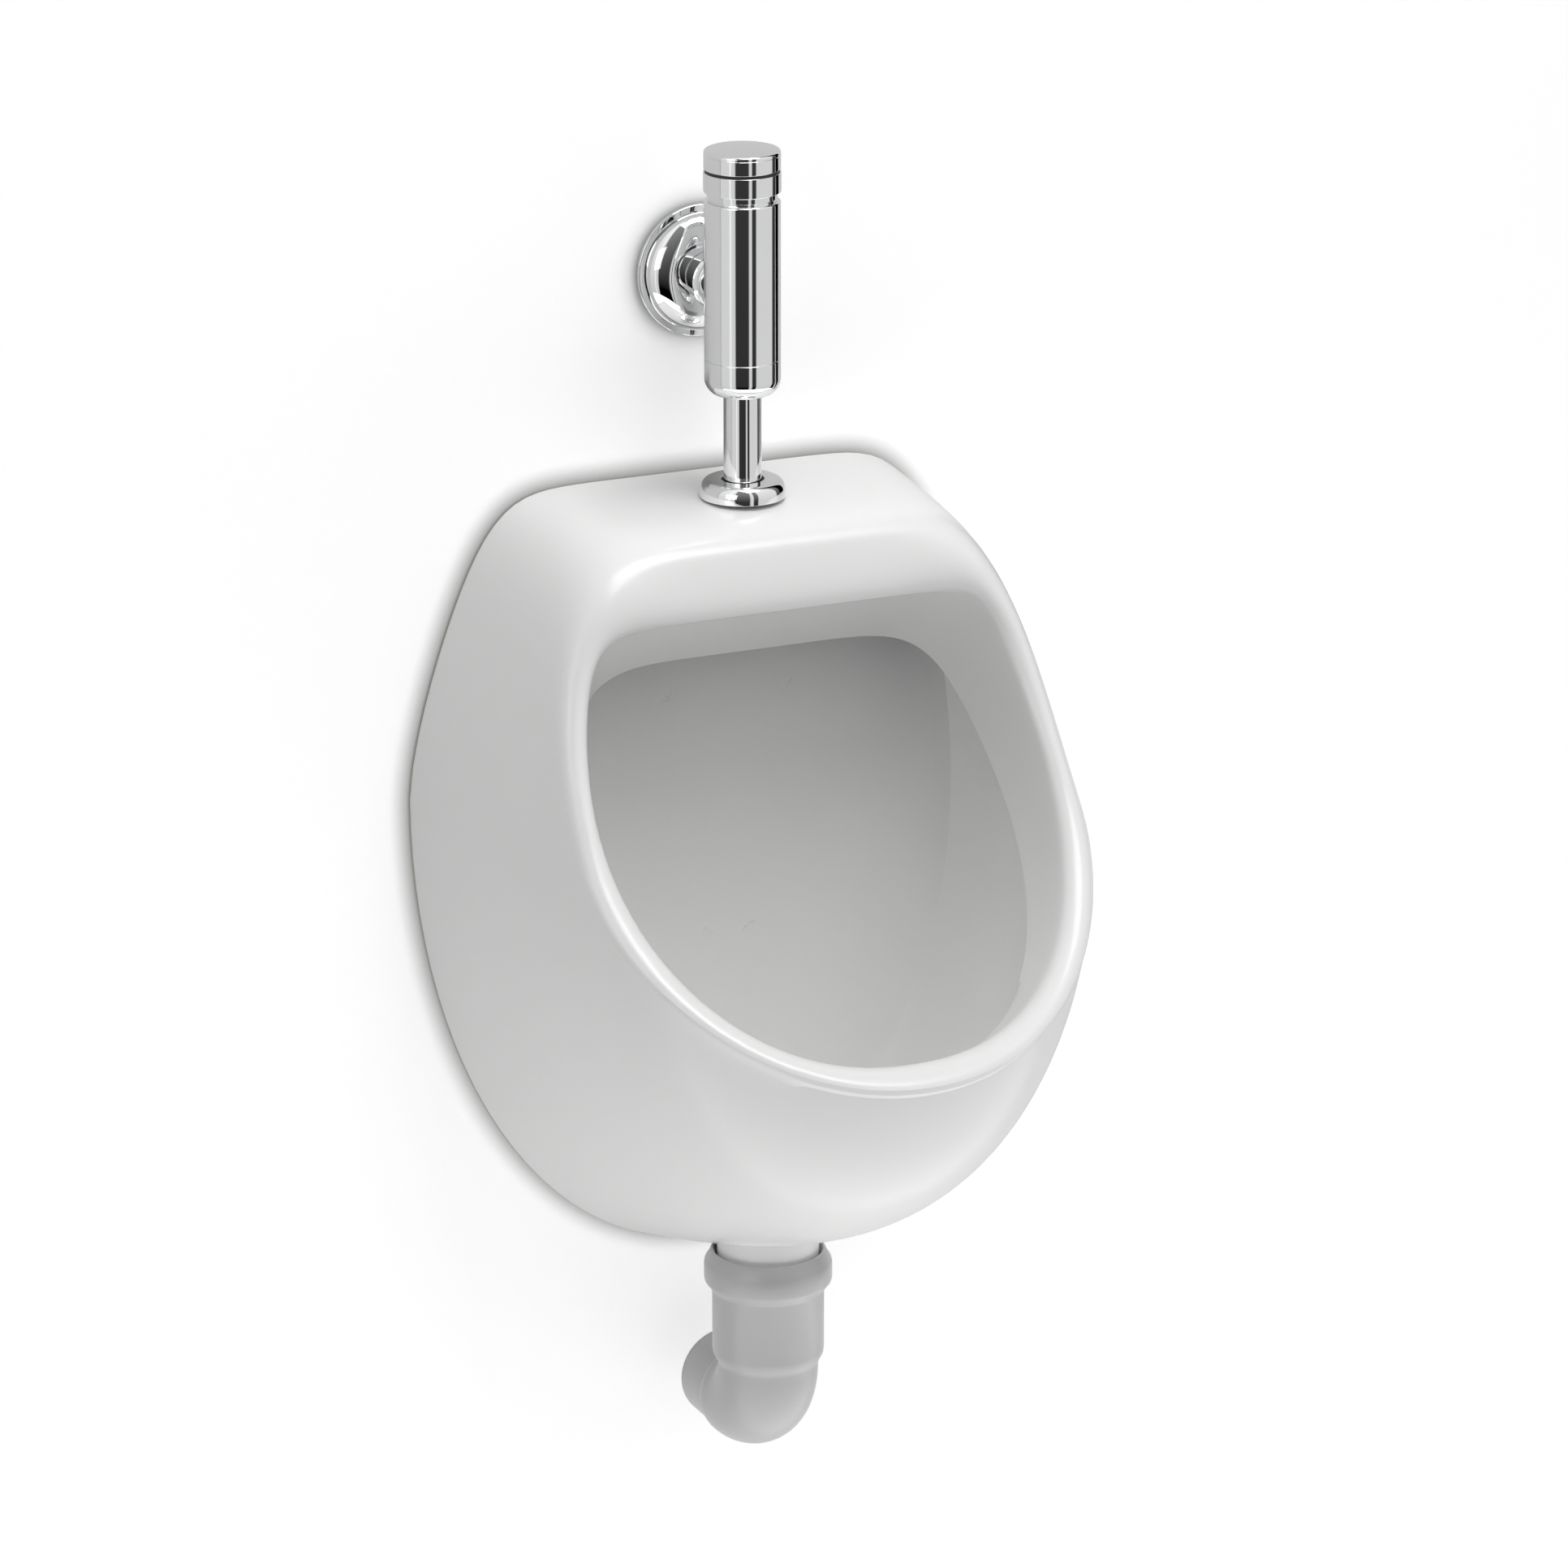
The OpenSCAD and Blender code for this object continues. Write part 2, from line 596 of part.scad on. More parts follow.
module inlet_spreader() {
    head_low = spud_flange_low - head_len;
    color(brass) difference() {
        union() {
            post(valve_reach, spud_r, head_low, spud_top);
            post(valve_reach, spud_flange_d / 2, spud_flange_low, spud_flange_low + spud_flange_t);
        }
        post(valve_reach, pipe_seal_r, spud_top - pipe_seal_h, spud_top + over);
        post(valve_reach, pipe_r + thread_gap, pipe_low - seat_gap, spud_top);
        post(valve_reach, head_bore_r, head_low + head_floor, pipe_low - seat_gap + small);
        side_holes(valve_reach, head_low + head_floor + head_hole_d, head_holes, head_hole_d,
            head_bore_r, spud_r);
    }
}
module spreader_seal() {
    color(rubber)
        tube(valve_reach, spud_flange_d / 2, spud_r + thread_gap, spud_seat - spud_seal_t, spud_seat);
}
module spud_washer() {
    color(rubber) tube(valve_reach, flange_pocket_r - 0.3, spud_r + thread_gap, top_z, top_z + washer_t);
}
module spud_nut() {
    low = top_z + washer_t;
    color(brass) difference() {
        translate([0, -valve_reach, low]) rotate(30)
            cylinder(r = spud_nut_flats / 2 / cos(30), h = spud_nut_h, $fn = 6);
        post(valve_reach, spud_r + thread_gap, low - over, low + spud_nut_h + over);
    }
}
module pipe_seal() {
    color(rubber) tube(valve_reach, pipe_seal_r, pipe_r, spud_top - pipe_seal_h, spud_top);
}
module pipe_flange() {
    edge_h = 2.4;
    shoulder = 5;
    r = flange_d / 2;
    color(chrome) difference() {
        turned(valve_reach, concat([[0, top_z], [r, top_z]],
            arc([r - shoulder, top_z + edge_h], shoulder, flange_h - edge_h, 0, 90),
            [[0, top_z + flange_h]]));
        post(valve_reach, flange_pocket_r, top_z - over, top_z + flange_h - flange_roof);
        post(valve_reach, flange_hole_r, top_z - over, top_z + flange_h + over);
    }
}

// Flush pipe and the joint below the valve
valve_r = valve_d / 2;
tail_r = valve_r - 4.6;
tail_low = valve_z + 6.4;
pipe_top = tail_low + 8;
nut_seal_t = 2.5;
nut_hole_r = pipe_r + 0.4;

module flush_pipe() {
    color(chrome) tube(valve_reach, pipe_r, pipe_r - pipe_wall, pipe_low, pipe_top);
}
module outlet_nut() {
    top = valve_z + outlet_nut_h;
    round_r = outlet_nut_round;
    color(chrome) difference() {
        turned(valve_reach, concat([[0, valve_z]],
            arc([valve_r - round_r, valve_z + round_r], round_r, round_r, -90, 0),
            [[valve_r, top - 0.3], [valve_r - 0.3, top], [0, top]]));
        post(valve_reach, nut_hole_r, valve_z - over, top + over);
        post(valve_reach, tail_r + thread_gap, tail_low - nut_seal_t, top + over);
    }
}
module outlet_nut_seal() {
    color(rubber) tube(valve_reach, tail_r, pipe_r, tail_low - nut_seal_t, tail_low);
}

// Valve: the water comes in at the side, through the ports of the sleeve when the piston
// is down, and leaves at the bottom
bore_r = valve_r - 5.6;
throat_r = pipe_r - 1.3;
sleeve_low = body_z + 11.3;
sleeve_h = 44;
sleeve_top = sleeve_low + sleeve_h;
sleeve_r = bore_r - 0.05;
piston_r = piston_d / 2;
piston_room = piston_r + run_gap;
bonnet_thread_r = bore_r + 2.5;
bonnet_thread_low = body_top_z - 15.7;
ports_z = inlet_z - 1.6;
seal_groove_h = 1.8;
seal_depth = 1.4;
sleeve_seal_levels = [sleeve_low + 10, sleeve_top - 8];
port_r = arm_d / 2 - 3.5;
round_top = 1.2;

module valve_body() {
    color(chrome) difference() {
        union() {
            turned(valve_reach, concat([[0, body_z], [valve_r - 0.3, body_z], [valve_r, body_z + 0.3]],
                arc([valve_r - round_top, body_top_z - round_top], round_top, round_top, 0, 90),
                [[0, body_top_z]]));
            post(valve_reach, tail_r, tail_low, body_z + small);
        }
        post(valve_reach, pipe_r + thread_gap, tail_low - over, pipe_top);
        post(valve_reach, throat_r, pipe_top - small, sleeve_low + over);
        post(valve_reach, bore_r, sleeve_low, body_top_z);
        post(valve_reach, bonnet_thread_r, bonnet_thread_low, body_top_z + over);
        inlet_post(port_r + 0.05, -valve_reach, 0);
    }
}
module seal_groove(out_r, in_r, level) {
    tube(valve_reach, out_r, in_r, level - seal_groove_h / 2, level + seal_groove_h / 2);
}
module cartridge_sleeve() {
    gallery_r = bore_r - 2.5;
    color(brass) difference() {
        post(valve_reach, sleeve_r, sleeve_low, sleeve_top);
        post(valve_reach, piston_room, sleeve_low - over, sleeve_top + over);
        tube(valve_reach, bore_r + over, gallery_r, inlet_z - 6.6, inlet_z + 6.4);
        for (level = sleeve_seal_levels) seal_groove(bore_r + over, bore_r - seal_depth, level);
        side_holes(valve_reach, ports_z, port_count, port_d, piston_room, bore_r);
    }
}
module sleeve_seals() {
    color(rubber) for (level = sleeve_seal_levels)
        seal_ring(valve_reach, bore_r - seal_depth, bore_r, level);
}

// Bonnet: screws into the body, holds the sleeve down and guides the stem
neck_r = neck_d / 2;
// Web at the top of the button skirt
web_t = 2;
neck_top = ring_z - web_t - button_travel - 0.2;
stem_r = stem_d / 2;
stem_room = stem_r + run_gap;
spring_room = bore_r - 2.7;
room_top = body_top_z + 0.2;
bonnet_seal_z = sleeve_top + 6.5;
stem_seal_z = room_top + 5;
groove_top = body_top_z + 1.2;

module bonnet() {
    color(chrome) difference() {
        union() {
            post(valve_reach, bore_r - 0.05, sleeve_top, bonnet_thread_low + small);
            post(valve_reach, bonnet_thread_r - thread_gap, bonnet_thread_low, body_top_z + small);
            post(valve_reach, neck_r - 0.9, body_top_z, groove_top + small);
            post(valve_reach, neck_r, groove_top, neck_top);
        }
        post(valve_reach, spring_room, sleeve_top - over, room_top);
        post(valve_reach, stem_room, room_top - small, neck_top + over);
        seal_groove(stem_r + seal_depth, stem_r / 2, stem_seal_z);
        seal_groove(bore_r + over, bore_r - seal_depth, bonnet_seal_z);
    }
}
module bonnet_seal() {
    color(rubber) seal_ring(valve_reach, bore_r - seal_depth, bore_r, bonnet_seal_z);
}
module stem_seal() {
    color(rubber) seal_ring(valve_reach, stem_room, stem_r + seal_depth, stem_seal_z);
}

// Water inlet: a short arm from the wall to the valve
arm_r = arm_d / 2;
arm_front = -valve_reach + bore_r + 0.1;
thread_start = -12;
collar_front = -valve_reach + valve_r + 1;
collar_w = 8;
filter_r = arm_bore / 2 - 0.05;
filter_from = 2;
filter_len = 11;
filter_wall = 1;

module inlet_arm() {
    color(chrome) difference() {
        union() {
            difference() {
                inlet_post(arm_r, -valve_reach, thread_start);
                post(valve_reach, valve_r, inlet_z - arm_r - over, inlet_z + arm_r + over);
            }
            inlet_post(port_r, arm_front, thread_start);
            inlet_post(inlet_d / 2, thread_start - small, inlet_len);
        }
        inlet_post(arm_bore / 2, arm_front - over, inlet_len + over);
    }
}
module inlet_collar() {
    r = inlet_collar_d / 2;
    bevel = 0.8;
    color(chrome) translate([0, collar_front, inlet_z]) rotate([-90, 0, 0]) difference() {
        rotate_extrude() polygon([[0, 0], [r - bevel, 0], [r, bevel], [r, collar_w - bevel],
            [r - bevel, collar_w], [0, collar_w]]);
        translate([0, 0, -over]) cylinder(r = arm_r + 0.05, h = collar_w + 2 * over);
    }
}
module inlet_filter() {
    color(steel) difference() {
        inlet_post(filter_r, filter_from, filter_from + filter_len);
        inlet_post(filter_r - filter_wall, filter_from + filter_wall, filter_from + filter_len + over);
        for (row = [0 : 2], i = [0 : 7])
            translate([0, filter_from + 3.5 + row * 3, inlet_z]) rotate([-90, 0, 0])
                rotate([0, 0, i * 45 + row * 22.5]) translate([filter_r - filter_wall - 0.5, 0, 0])
                    rotate([0, 90, 0]) cylinder(d = 1.4, h = filter_wall + 1);
    }
}
module wall_rosette() {
    r = rosette_d / 2;
    rim_h = 2;
    dome_r = r - 3.5;
    wall = 1.2;
    hole_r = arm_r + thread_gap;
    shell = hole_r + 4;
    color(chrome) translate([0, 0, inlet_z]) rotate([90, 0, 0]) difference() {
        rotate_extrude() polygon(concat([[0, 0], [r, 0], [r, rim_h - 0.6], [r - 0.6, rim_h]],
            arc([shell, rim_h], dome_r - shell, rosette_h - rim_h, 0, 90), [[0, rosette_h]]));
        rotate_extrude() polygon(concat([[0, -over], [dome_r - wall, -over], [dome_r - wall, rim_h - wall]],
            arc([shell, rim_h - wall], dome_r - wall - shell, rosette_h - rim_h, 0, 90),
            [[0, rosette_h - wall]]));
        translate([0, 0, -over]) cylinder(r = hole_r, h = rosette_h + 2 * over);
    }
}

// Button: the cap, the ring and the skirt move down together on the stem
button_r = button_d / 2;
hub_r = 6;
plug_r = button_r - 5;
stem_top = cap_z + cap_h - 5;

module push_cap() {
    r = button_r - 0.2;
    top = cap_z + cap_h - cap_dome;
    round_r = 1.6;
    dome_r = ((r - round_r) * (r - round_r) + cap_dome * cap_dome) / 2 / cap_dome;
    dome_half = asin((r - round_r) / dome_r);
    color(chrome) difference() {
        union() {
            turned(valve_reach, concat([[0, cap_z], [r - 0.3, cap_z], [r, cap_z + 0.3], [r, top - round_r]],
                arc([r - round_r, top - round_r], round_r, round_r, 0, 90, 5),
                arc([0, top + cap_dome - dome_r], dome_r, dome_r, 90 - dome_half + 1, 90)));
            post(valve_reach, plug_r, ring_z, cap_z + small);
            post(valve_reach, hub_r, ring_z - web_t, ring_z + small);
        }
        post(valve_reach, stem_r + thread_gap / 2, ring_z - web_t - over, stem_top);
    }
}
module button_ring() {
    color(rubber) tube(valve_reach, button_r - 0.7, plug_r + thread_gap, ring_z, cap_z);
}
module button_skirt() {
    inner = neck_r + 0.3;
    color(chrome) difference() {
        turned(valve_reach, [[0, skirt_z], [button_r - 0.5, skirt_z], [button_r, skirt_z + 0.5],
            [button_r, ring_z - 0.3], [button_r - 0.3, ring_z], [0, ring_z]]);
        post(valve_reach, inner, skirt_z - over, ring_z - web_t);
        post(valve_reach, hub_r + thread_gap, skirt_z, ring_z + over);
    }
}
piston_low = sleeve_low + 8;
piston_h = 32;
piston_top = piston_low + piston_h;
piston_bore = piston_r - 3;
piston_seal_levels = [ports_z - 8, ports_z + 9];
piston_seal_in = piston_r - 1.3;
spring_low = sleeve_top;
spring_high = sleeve_top + 20;
clip_top = room_top - 0.4;

module piston() {
    color(brass) difference() {
        post(valve_reach, piston_r, piston_low, piston_top);
        post(valve_reach, piston_bore, piston_low - over, piston_top - 6);
        post(valve_reach, stem_r, piston_top - 4, piston_top + over);
        for (level = piston_seal_levels)
            tube(valve_reach, piston_r + over, piston_seal_in, level - 0.8, level + 0.8);
        side_holes(valve_reach, ports_z + button_travel, port_count, port_d, piston_bore, piston_r);
    }
}
module piston_seals() {
    color(rubber) for (level = piston_seal_levels)
        seal_ring(valve_reach, piston_seal_in, piston_r, level);
}
module stem() {
    color(steel) difference() {
        union() {
            post(valve_reach, stem_r, piston_top - 4, stem_top);
            post(valve_reach, spring_room - 0.6, spring_high, spring_high + 2);
        }
        tube(valve_reach, stem_r + over, stem_r - 0.7, clip_top - 1, clip_top);
    }
}
module stem_clip() {
    color(steel) tube(valve_reach, stem_r + 2.5, stem_r - 0.7, clip_top - 1, clip_top);
}

// Return spring: one wire swept along a helix, with a tight coil at each end
spring_r = spring_room - 0.5 - wire_d / 2;
wire_sides = 6;
turn_rings = 16;
end_pitch = wire_d + 0.45;
function spring_level(t) =
    let (
        last = spring_turns - 1,
        free = spring_high - spring_low - wire_d - 2 * end_pitch
    )
    spring_low + wire_d / 2 + end_pitch * (min(1, t) + max(0, t - last))
        + free * min(1, max(0, (t - 1) / (last - 1)));
module return_spring() {
    count = spring_turns * turn_rings;
    points = [for (i = [0 : count], j = [0 : wire_sides - 1])
        let (t = i / turn_rings, a = 360 * t, b = 360 * j / wire_sides, r = spring_r + wire_d / 2 * cos(b))
        [r * cos(a), r * sin(a) - valve_reach, spring_level(t) + wire_d / 2 * sin(b)]];
    faces = concat(
        [for (j = [1 : wire_sides - 2]) [0, j + 1, j]],
        [for (i = [0 : count - 1], j = [0 : wire_sides - 1])
            let (a = i * wire_sides, b = a + wire_sides, k = (j + 1) % wire_sides)
            each [[a + j, b + k, b + j], [a + j, a + k, b + k]]],
        [for (j = [1 : wire_sides - 2]) let (a = count * wire_sides) [a, a + j, a + j + 1]]);
    color(steel) polyhedron(points, faces);
}

// The underside clears the mouth and the collar of the elbow
module ceramic_body() {
    color(glaze) difference() {
        union() {
            difference() {
                loft(body_rings(), recess_centre, bowl_centre);
                translate([-body_w, 0, top_z - 2 * body_h]) cube([2 * body_w, -2 * behind, 3 * body_h]);
                post(drain_reach, collar_d / 2 + seat_gap, top_z - body_h - over, mouth_z + seat_gap);
            }
            post(drain_reach, spigot_d / 2, spigot_low, floor_z - 2);
            hanging_lugs();
        }
        outlet_cuts();
        post(valve_reach, spud_r + spud_gap, spud_seat - over, top_z + over);
        post(valve_reach, spud_flange_d / 2 + seat_gap, spud_seat - 8, spud_seat);
    }
}

ceramic_body();
hanger_left();
hanger_right();
hanger_pads();
outlet_strainer();
strainer_screw();
strainer_crossbar();
waste_elbow();
elbow_seal();
inlet_spreader();
spreader_seal();
spud_washer();
spud_nut();
pipe_seal();
pipe_flange();
flush_pipe();
outlet_nut();
outlet_nut_seal();
valve_body();
cartridge_sleeve();
sleeve_seals();
bonnet();
bonnet_seal();
stem_seal();
inlet_arm();
inlet_collar();
inlet_filter();
wall_rosette();
push_cap();
button_ring();
button_skirt();
stem();
stem_clip();
piston();
piston_seals();
return_spring();
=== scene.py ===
# %% [markdown]
# # A small wall-hung urinal, dressed in Blender
# The construction comes from CAD: a ceramic body, a push-button valve with its
# pipe, and a plastic waste elbow. This script gives every piece its finish, and
# makes again, with soft edges, the pieces whose edges catch the light. Each step
# says what the real piece is, and why it is made the way it is.

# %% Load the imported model
import json
import math

import bmesh
import bpy
from mathutils import Matrix, Vector

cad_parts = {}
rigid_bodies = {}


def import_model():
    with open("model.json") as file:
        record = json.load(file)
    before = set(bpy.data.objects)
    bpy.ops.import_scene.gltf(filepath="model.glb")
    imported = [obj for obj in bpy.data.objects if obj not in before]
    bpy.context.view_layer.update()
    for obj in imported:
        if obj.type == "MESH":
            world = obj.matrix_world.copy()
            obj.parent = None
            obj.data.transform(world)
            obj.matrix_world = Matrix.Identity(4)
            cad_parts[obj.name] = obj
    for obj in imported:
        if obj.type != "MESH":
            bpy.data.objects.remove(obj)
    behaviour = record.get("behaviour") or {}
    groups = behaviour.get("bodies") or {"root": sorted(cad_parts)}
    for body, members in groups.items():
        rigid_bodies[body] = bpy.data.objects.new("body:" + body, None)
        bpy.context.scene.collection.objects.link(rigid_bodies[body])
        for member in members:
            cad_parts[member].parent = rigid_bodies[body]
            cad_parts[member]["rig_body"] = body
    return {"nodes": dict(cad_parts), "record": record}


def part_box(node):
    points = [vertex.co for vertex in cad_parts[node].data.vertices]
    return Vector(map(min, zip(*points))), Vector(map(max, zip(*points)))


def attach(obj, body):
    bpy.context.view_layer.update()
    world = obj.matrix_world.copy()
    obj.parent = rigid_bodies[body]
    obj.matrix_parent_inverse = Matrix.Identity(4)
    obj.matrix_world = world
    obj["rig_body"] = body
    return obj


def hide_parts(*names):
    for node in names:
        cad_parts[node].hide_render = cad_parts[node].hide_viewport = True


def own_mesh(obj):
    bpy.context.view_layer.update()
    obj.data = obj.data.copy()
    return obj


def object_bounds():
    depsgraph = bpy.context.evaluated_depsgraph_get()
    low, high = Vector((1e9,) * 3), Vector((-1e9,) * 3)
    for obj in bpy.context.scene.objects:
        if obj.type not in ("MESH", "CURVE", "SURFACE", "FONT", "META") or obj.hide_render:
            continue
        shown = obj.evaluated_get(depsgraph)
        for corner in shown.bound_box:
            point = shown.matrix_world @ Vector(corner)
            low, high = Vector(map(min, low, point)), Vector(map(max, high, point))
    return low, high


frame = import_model()
cad_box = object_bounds()
MM = 0.001

# %% [markdown]
# ## Camera
# The photograph is a product picture made with a long lens, so parallel edges stay
# nearly parallel. The camera stands to the left of the urinal and a little above
# it. A long lens far away gives the same flat perspective here.

# %% Camera
PHOTO_SIDE = 1932
LENS_PIXELS = 9500
PIXELS_PER_MM = 2.33
CAMERA_AZIMUTH = math.radians(-24.4)
CAMERA_ELEVATION = math.radians(18.13)
AIM_RIGHT = 47.76 * MM
AIM_BELOW_TOP = 178.65 * MM
SENSOR_WIDTH = 36
SEES_TO = 30

ceramic_low, ceramic_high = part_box("ceramic_body")


def camera_axes(azimuth, elevation):
    """The camera's right, up and back directions."""
    back = Vector((
        math.sin(azimuth) * math.cos(elevation),
        -math.cos(azimuth) * math.cos(elevation),
        math.sin(elevation),
    ))
    right = Vector((math.cos(azimuth), math.sin(azimuth), 0))
    return right, back.cross(right), back


def add_camera():
    """The camera of the photograph, aimed at a point on the wall."""
    data = bpy.data.cameras.new("photo_camera")
    data.sensor_width = SENSOR_WIDTH
    data.lens = SENSOR_WIDTH * LENS_PIXELS / PHOTO_SIDE
    data.clip_end = SEES_TO
    camera = bpy.data.objects.new("photo_camera", data)
    bpy.context.scene.collection.objects.link(camera)
    right, up, back = camera_axes(CAMERA_AZIMUTH, CAMERA_ELEVATION)
    distance = LENS_PIXELS / PIXELS_PER_MM * MM
    place = Vector((AIM_RIGHT, 0, ceramic_high.z - AIM_BELOW_TOP)) + back * distance
    turn = Matrix((right, up, back)).transposed().to_4x4()
    camera.matrix_world = Matrix.Translation(place) @ turn
    bpy.context.scene.camera = camera
    print("camera", [round(c, 3) for c in place], "lens", round(data.lens, 1))


add_camera()
bpy.context.scene.view_settings.view_transform = "Standard"

# %% [markdown]
# ## Sums on sockets
# A node tree is easier to read as sums than as boxes and wires. This small class
# wraps the output of a node, so that `0.1 + 0.2 * noise` adds its Math nodes.
# Every other node comes from one method, which sets the node's own settings first
# and then its sockets.

# %% A node tree written as sums
class Value:
    """The output of a node, which takes part in sums."""

    def __init__(self, tree, output):
        self.tree = tree
        self.output = output

    def maths(self, operation, *values):
        """A Math node on this tree, by its operation and its values."""
        return self.tree.add("ShaderNodeMath", {"operation": operation}, dict(enumerate(values)))

    def __add__(self, other):
        return self.maths("ADD", self, other)

    __radd__ = __add__

    def __mul__(self, other):
        return self.maths("MULTIPLY", self, other)

    __rmul__ = __mul__

    def __sub__(self, other):
        return self.maths("SUBTRACT", self, other)

    def __rsub__(self, other):
        return self.maths("SUBTRACT", other, self)

    def above(self, level, soft):
        """0 below a level and 1 above it, with a soft step between."""
        return self.tree.add(
            "ShaderNodeMapRange", {"interpolation_type": "SMOOTHSTEP"},
            {"Value": self, "From Min": level - soft, "From Max": level + soft},
        )

    def between(self, low, high, soft):
        """1 between two levels and 0 outside them, with soft ends."""
        return self.above(low, soft) * (1 - self.above(high, soft))


class Tree:
    """A node tree that starts empty."""

    def __init__(self, owner):
        owner.use_nodes = True
        self.nodes = owner.node_tree.nodes
        self.links = owner.node_tree.links
        self.nodes.clear()

    def add(self, kind, settings=None, sockets=None, output=0):
        """Adds a node, with its settings, then its sockets' values or links.

        Returns one of its outputs, or nothing where the node ends the tree.
        """
        made = self.nodes.new(kind)
        for name, value in (settings or {}).items():
            setattr(made, name, value)
        for name, value in (sockets or {}).items():
            if isinstance(value, Value):
                self.links.new(value.output, made.inputs[name])
            else:
                made.inputs[name].default_value = value
        return Value(self, made.outputs[output]) if made.outputs else None

    def axes(self, vector):
        """The X, Y and Z of a vector."""
        split = self.add("ShaderNodeSeparateXYZ", None, {0: vector})
        return [Value(self, axis) for axis in split.output.node.outputs]

    def rays(self, *names):
        """What kind of ray asks: a 0 or 1 for each output of the Light Path node."""
        path = self.add("ShaderNodeLightPath").output.node
        return [Value(self, path.outputs[name]) for name in names]


WHITE = (1, 1, 1, 1)


# %% [markdown]
# ## Studio
# Polished chrome has no look of its own: it shows the room. The photographer's
# room was pale, with a few black strips, and the strips are the black stripes on
# the valve. A world shader makes such a room as a function of direction. Rays that
# bounce off something shiny see the strips. Rays that bounce off something dull
# see a soft light from the right and from above, so that the ceramic is shaded
# like the photograph. The camera sees white.

# %% Room: world light, by direction
# Black strips of the room: from, to and softness, in degrees to the right of the
# valve's front
STRIPS = [(-45, -4, 2.5), (5, 18, 2), (77, 106, 2)]
STRIP_GREY = 0.085
# The room's grey at eye level, and what it gains straight up
ROOM_GREY = 0.75
ROOM_UP = 0.20
# A narrow window beside the strips, and how much brighter it is than the room
WINDOW = (-63, -57, 1.5)
WINDOW_MORE = 0.24
# How bright the dull light is, straight from the right and straight from above
LIGHT_RIGHT = 0.61
LIGHT_ABOVE = 0.78


def add_world():
    """White for the camera, a striped room for reflections, soft light for the rest."""
    world = bpy.data.worlds.new("studio")
    bpy.context.scene.world = world
    tree = Tree(world)
    direction = tree.add("ShaderNodeTexCoord", output="Generated")
    x, y, z = tree.axes(direction)
    turn = x.maths("ARCTAN2", x, 0 - y) * math.degrees(1)
    dark = 0
    for start, end, soft in STRIPS:
        dark = turn.between(start, end, soft) + dark
    room = ROOM_GREY - (ROOM_GREY - STRIP_GREY) * dark + ROOM_UP * z
    room = room + WINDOW_MORE * turn.between(*WINDOW)
    dull = LIGHT_RIGHT * x.maths("MAXIMUM", x, 0) + LIGHT_ABOVE * z.maths("MAXIMUM", z, 0)
    glossy, camera = tree.rays("Is Glossy Ray", "Is Camera Ray")
    level = dull * (1 - glossy) + room * glossy
    level = level * (1 - camera) + camera
    light = tree.add("ShaderNodeBackground", None, {"Color": WHITE, "Strength": level})
    tree.add("ShaderNodeOutputWorld", None, {"Surface": light})
    print("world", len(tree.nodes), "nodes,", len(STRIPS), "strips")


add_world()

# %% [markdown]
# Two lamps add what the world's smooth light can't: the bright top of the ceramic
# and of its rim, and a weak light on the side that faces away from the window. An
# area lamp as large as a real soft box keeps their shadows soft.

# %% Lamps: a large soft one above, and a weak one from the left
def add_lamp(name, place, aim, size, power):
    """A square area lamp, turned to look at a point."""
    data = bpy.data.lights.new(name, "AREA")
    data.size = size
    data.energy = power
    lamp = bpy.data.objects.new(name, data)
    bpy.context.scene.collection.objects.link(lamp)
    lamp.location = place
    lamp.rotation_euler = (Vector(aim) - Vector(place)).to_track_quat("-Z", "Y").to_euler()
    print(name, "power", power, "size", size)


AIM = (0, -0.1, -0.1)
add_lamp("top_lamp", place=(0.2, -0.7, 1.7), aim=AIM, size=1.0, power=14.8)
add_lamp("left_lamp", place=(-1.6, -1.2, 0.6), aim=AIM, size=1.1, power=3.4)

# %% [markdown]
# The wall and the floor are stage, not part of the object. Each is a wide disc of
# dull paint that keeps the object's soft shadow, and adds a little white for the
# camera, so that the background is white and the shadow still shows. The floor
# also glows for all it faces, as a pale floor does under a strong lamp. From behind
# or below they let everything through. The wall has a hole behind the ceramic, so
# that light reaches the hangers in a view from behind. It stands a little behind the
# ceramic, as a joint does that isn't filled. Near things, its paint and its white are
# darkened, a painted shade made with Ambient Occlusion, and it glows a little for all
# but the camera, a painted light on the bare edge that faces it.

# %% Wall and floor
WALL_REACH = 4.0
FLOOR_REACH = 1.5
FLOOR_DROP = 0.40
DISC_SIDES = 64
# How pale the paint is, what the wall adds for the camera and for mirrors
PAINT_LEVEL = 0.80
WALL_GLOW = 0.45
WALL_SHINE = 0.04
WALL_GAP = 3 * MM
SHADE_REACH = 12 * MM
# The painted shade starts above this level, so that there is none where the wall meets the floor
SHADE_ABOVE = (-0.6, 0.05)
# Painted light: the wall glows near things for all but the camera, so that the bare back edge shows
PAINTED_GAP_GLOW = 0.5
FLOOR_GLOW = 0.24
FLOOR_LIGHT = 0.60
# The part of the wall that is painted dark for reflections only, a painted reflection:
# right of a place, above a level, each with its softness
DARK_RIGHT = (0.19, 0.01)
DARK_ABOVE = (-0.05, 0.02)
# A grey patch painted on the wall behind the pipe for reflections only, a painted
# reflection that the flat top of its flange shows: from, to and softness
PAINTED_REFLECTION_SIDES = (-0.06, 0.024, 0.02)
PAINTED_REFLECTION_LEVELS = (0.066, 0.11, 0.005)
PAINTED_REFLECTION_GREY = 0.55


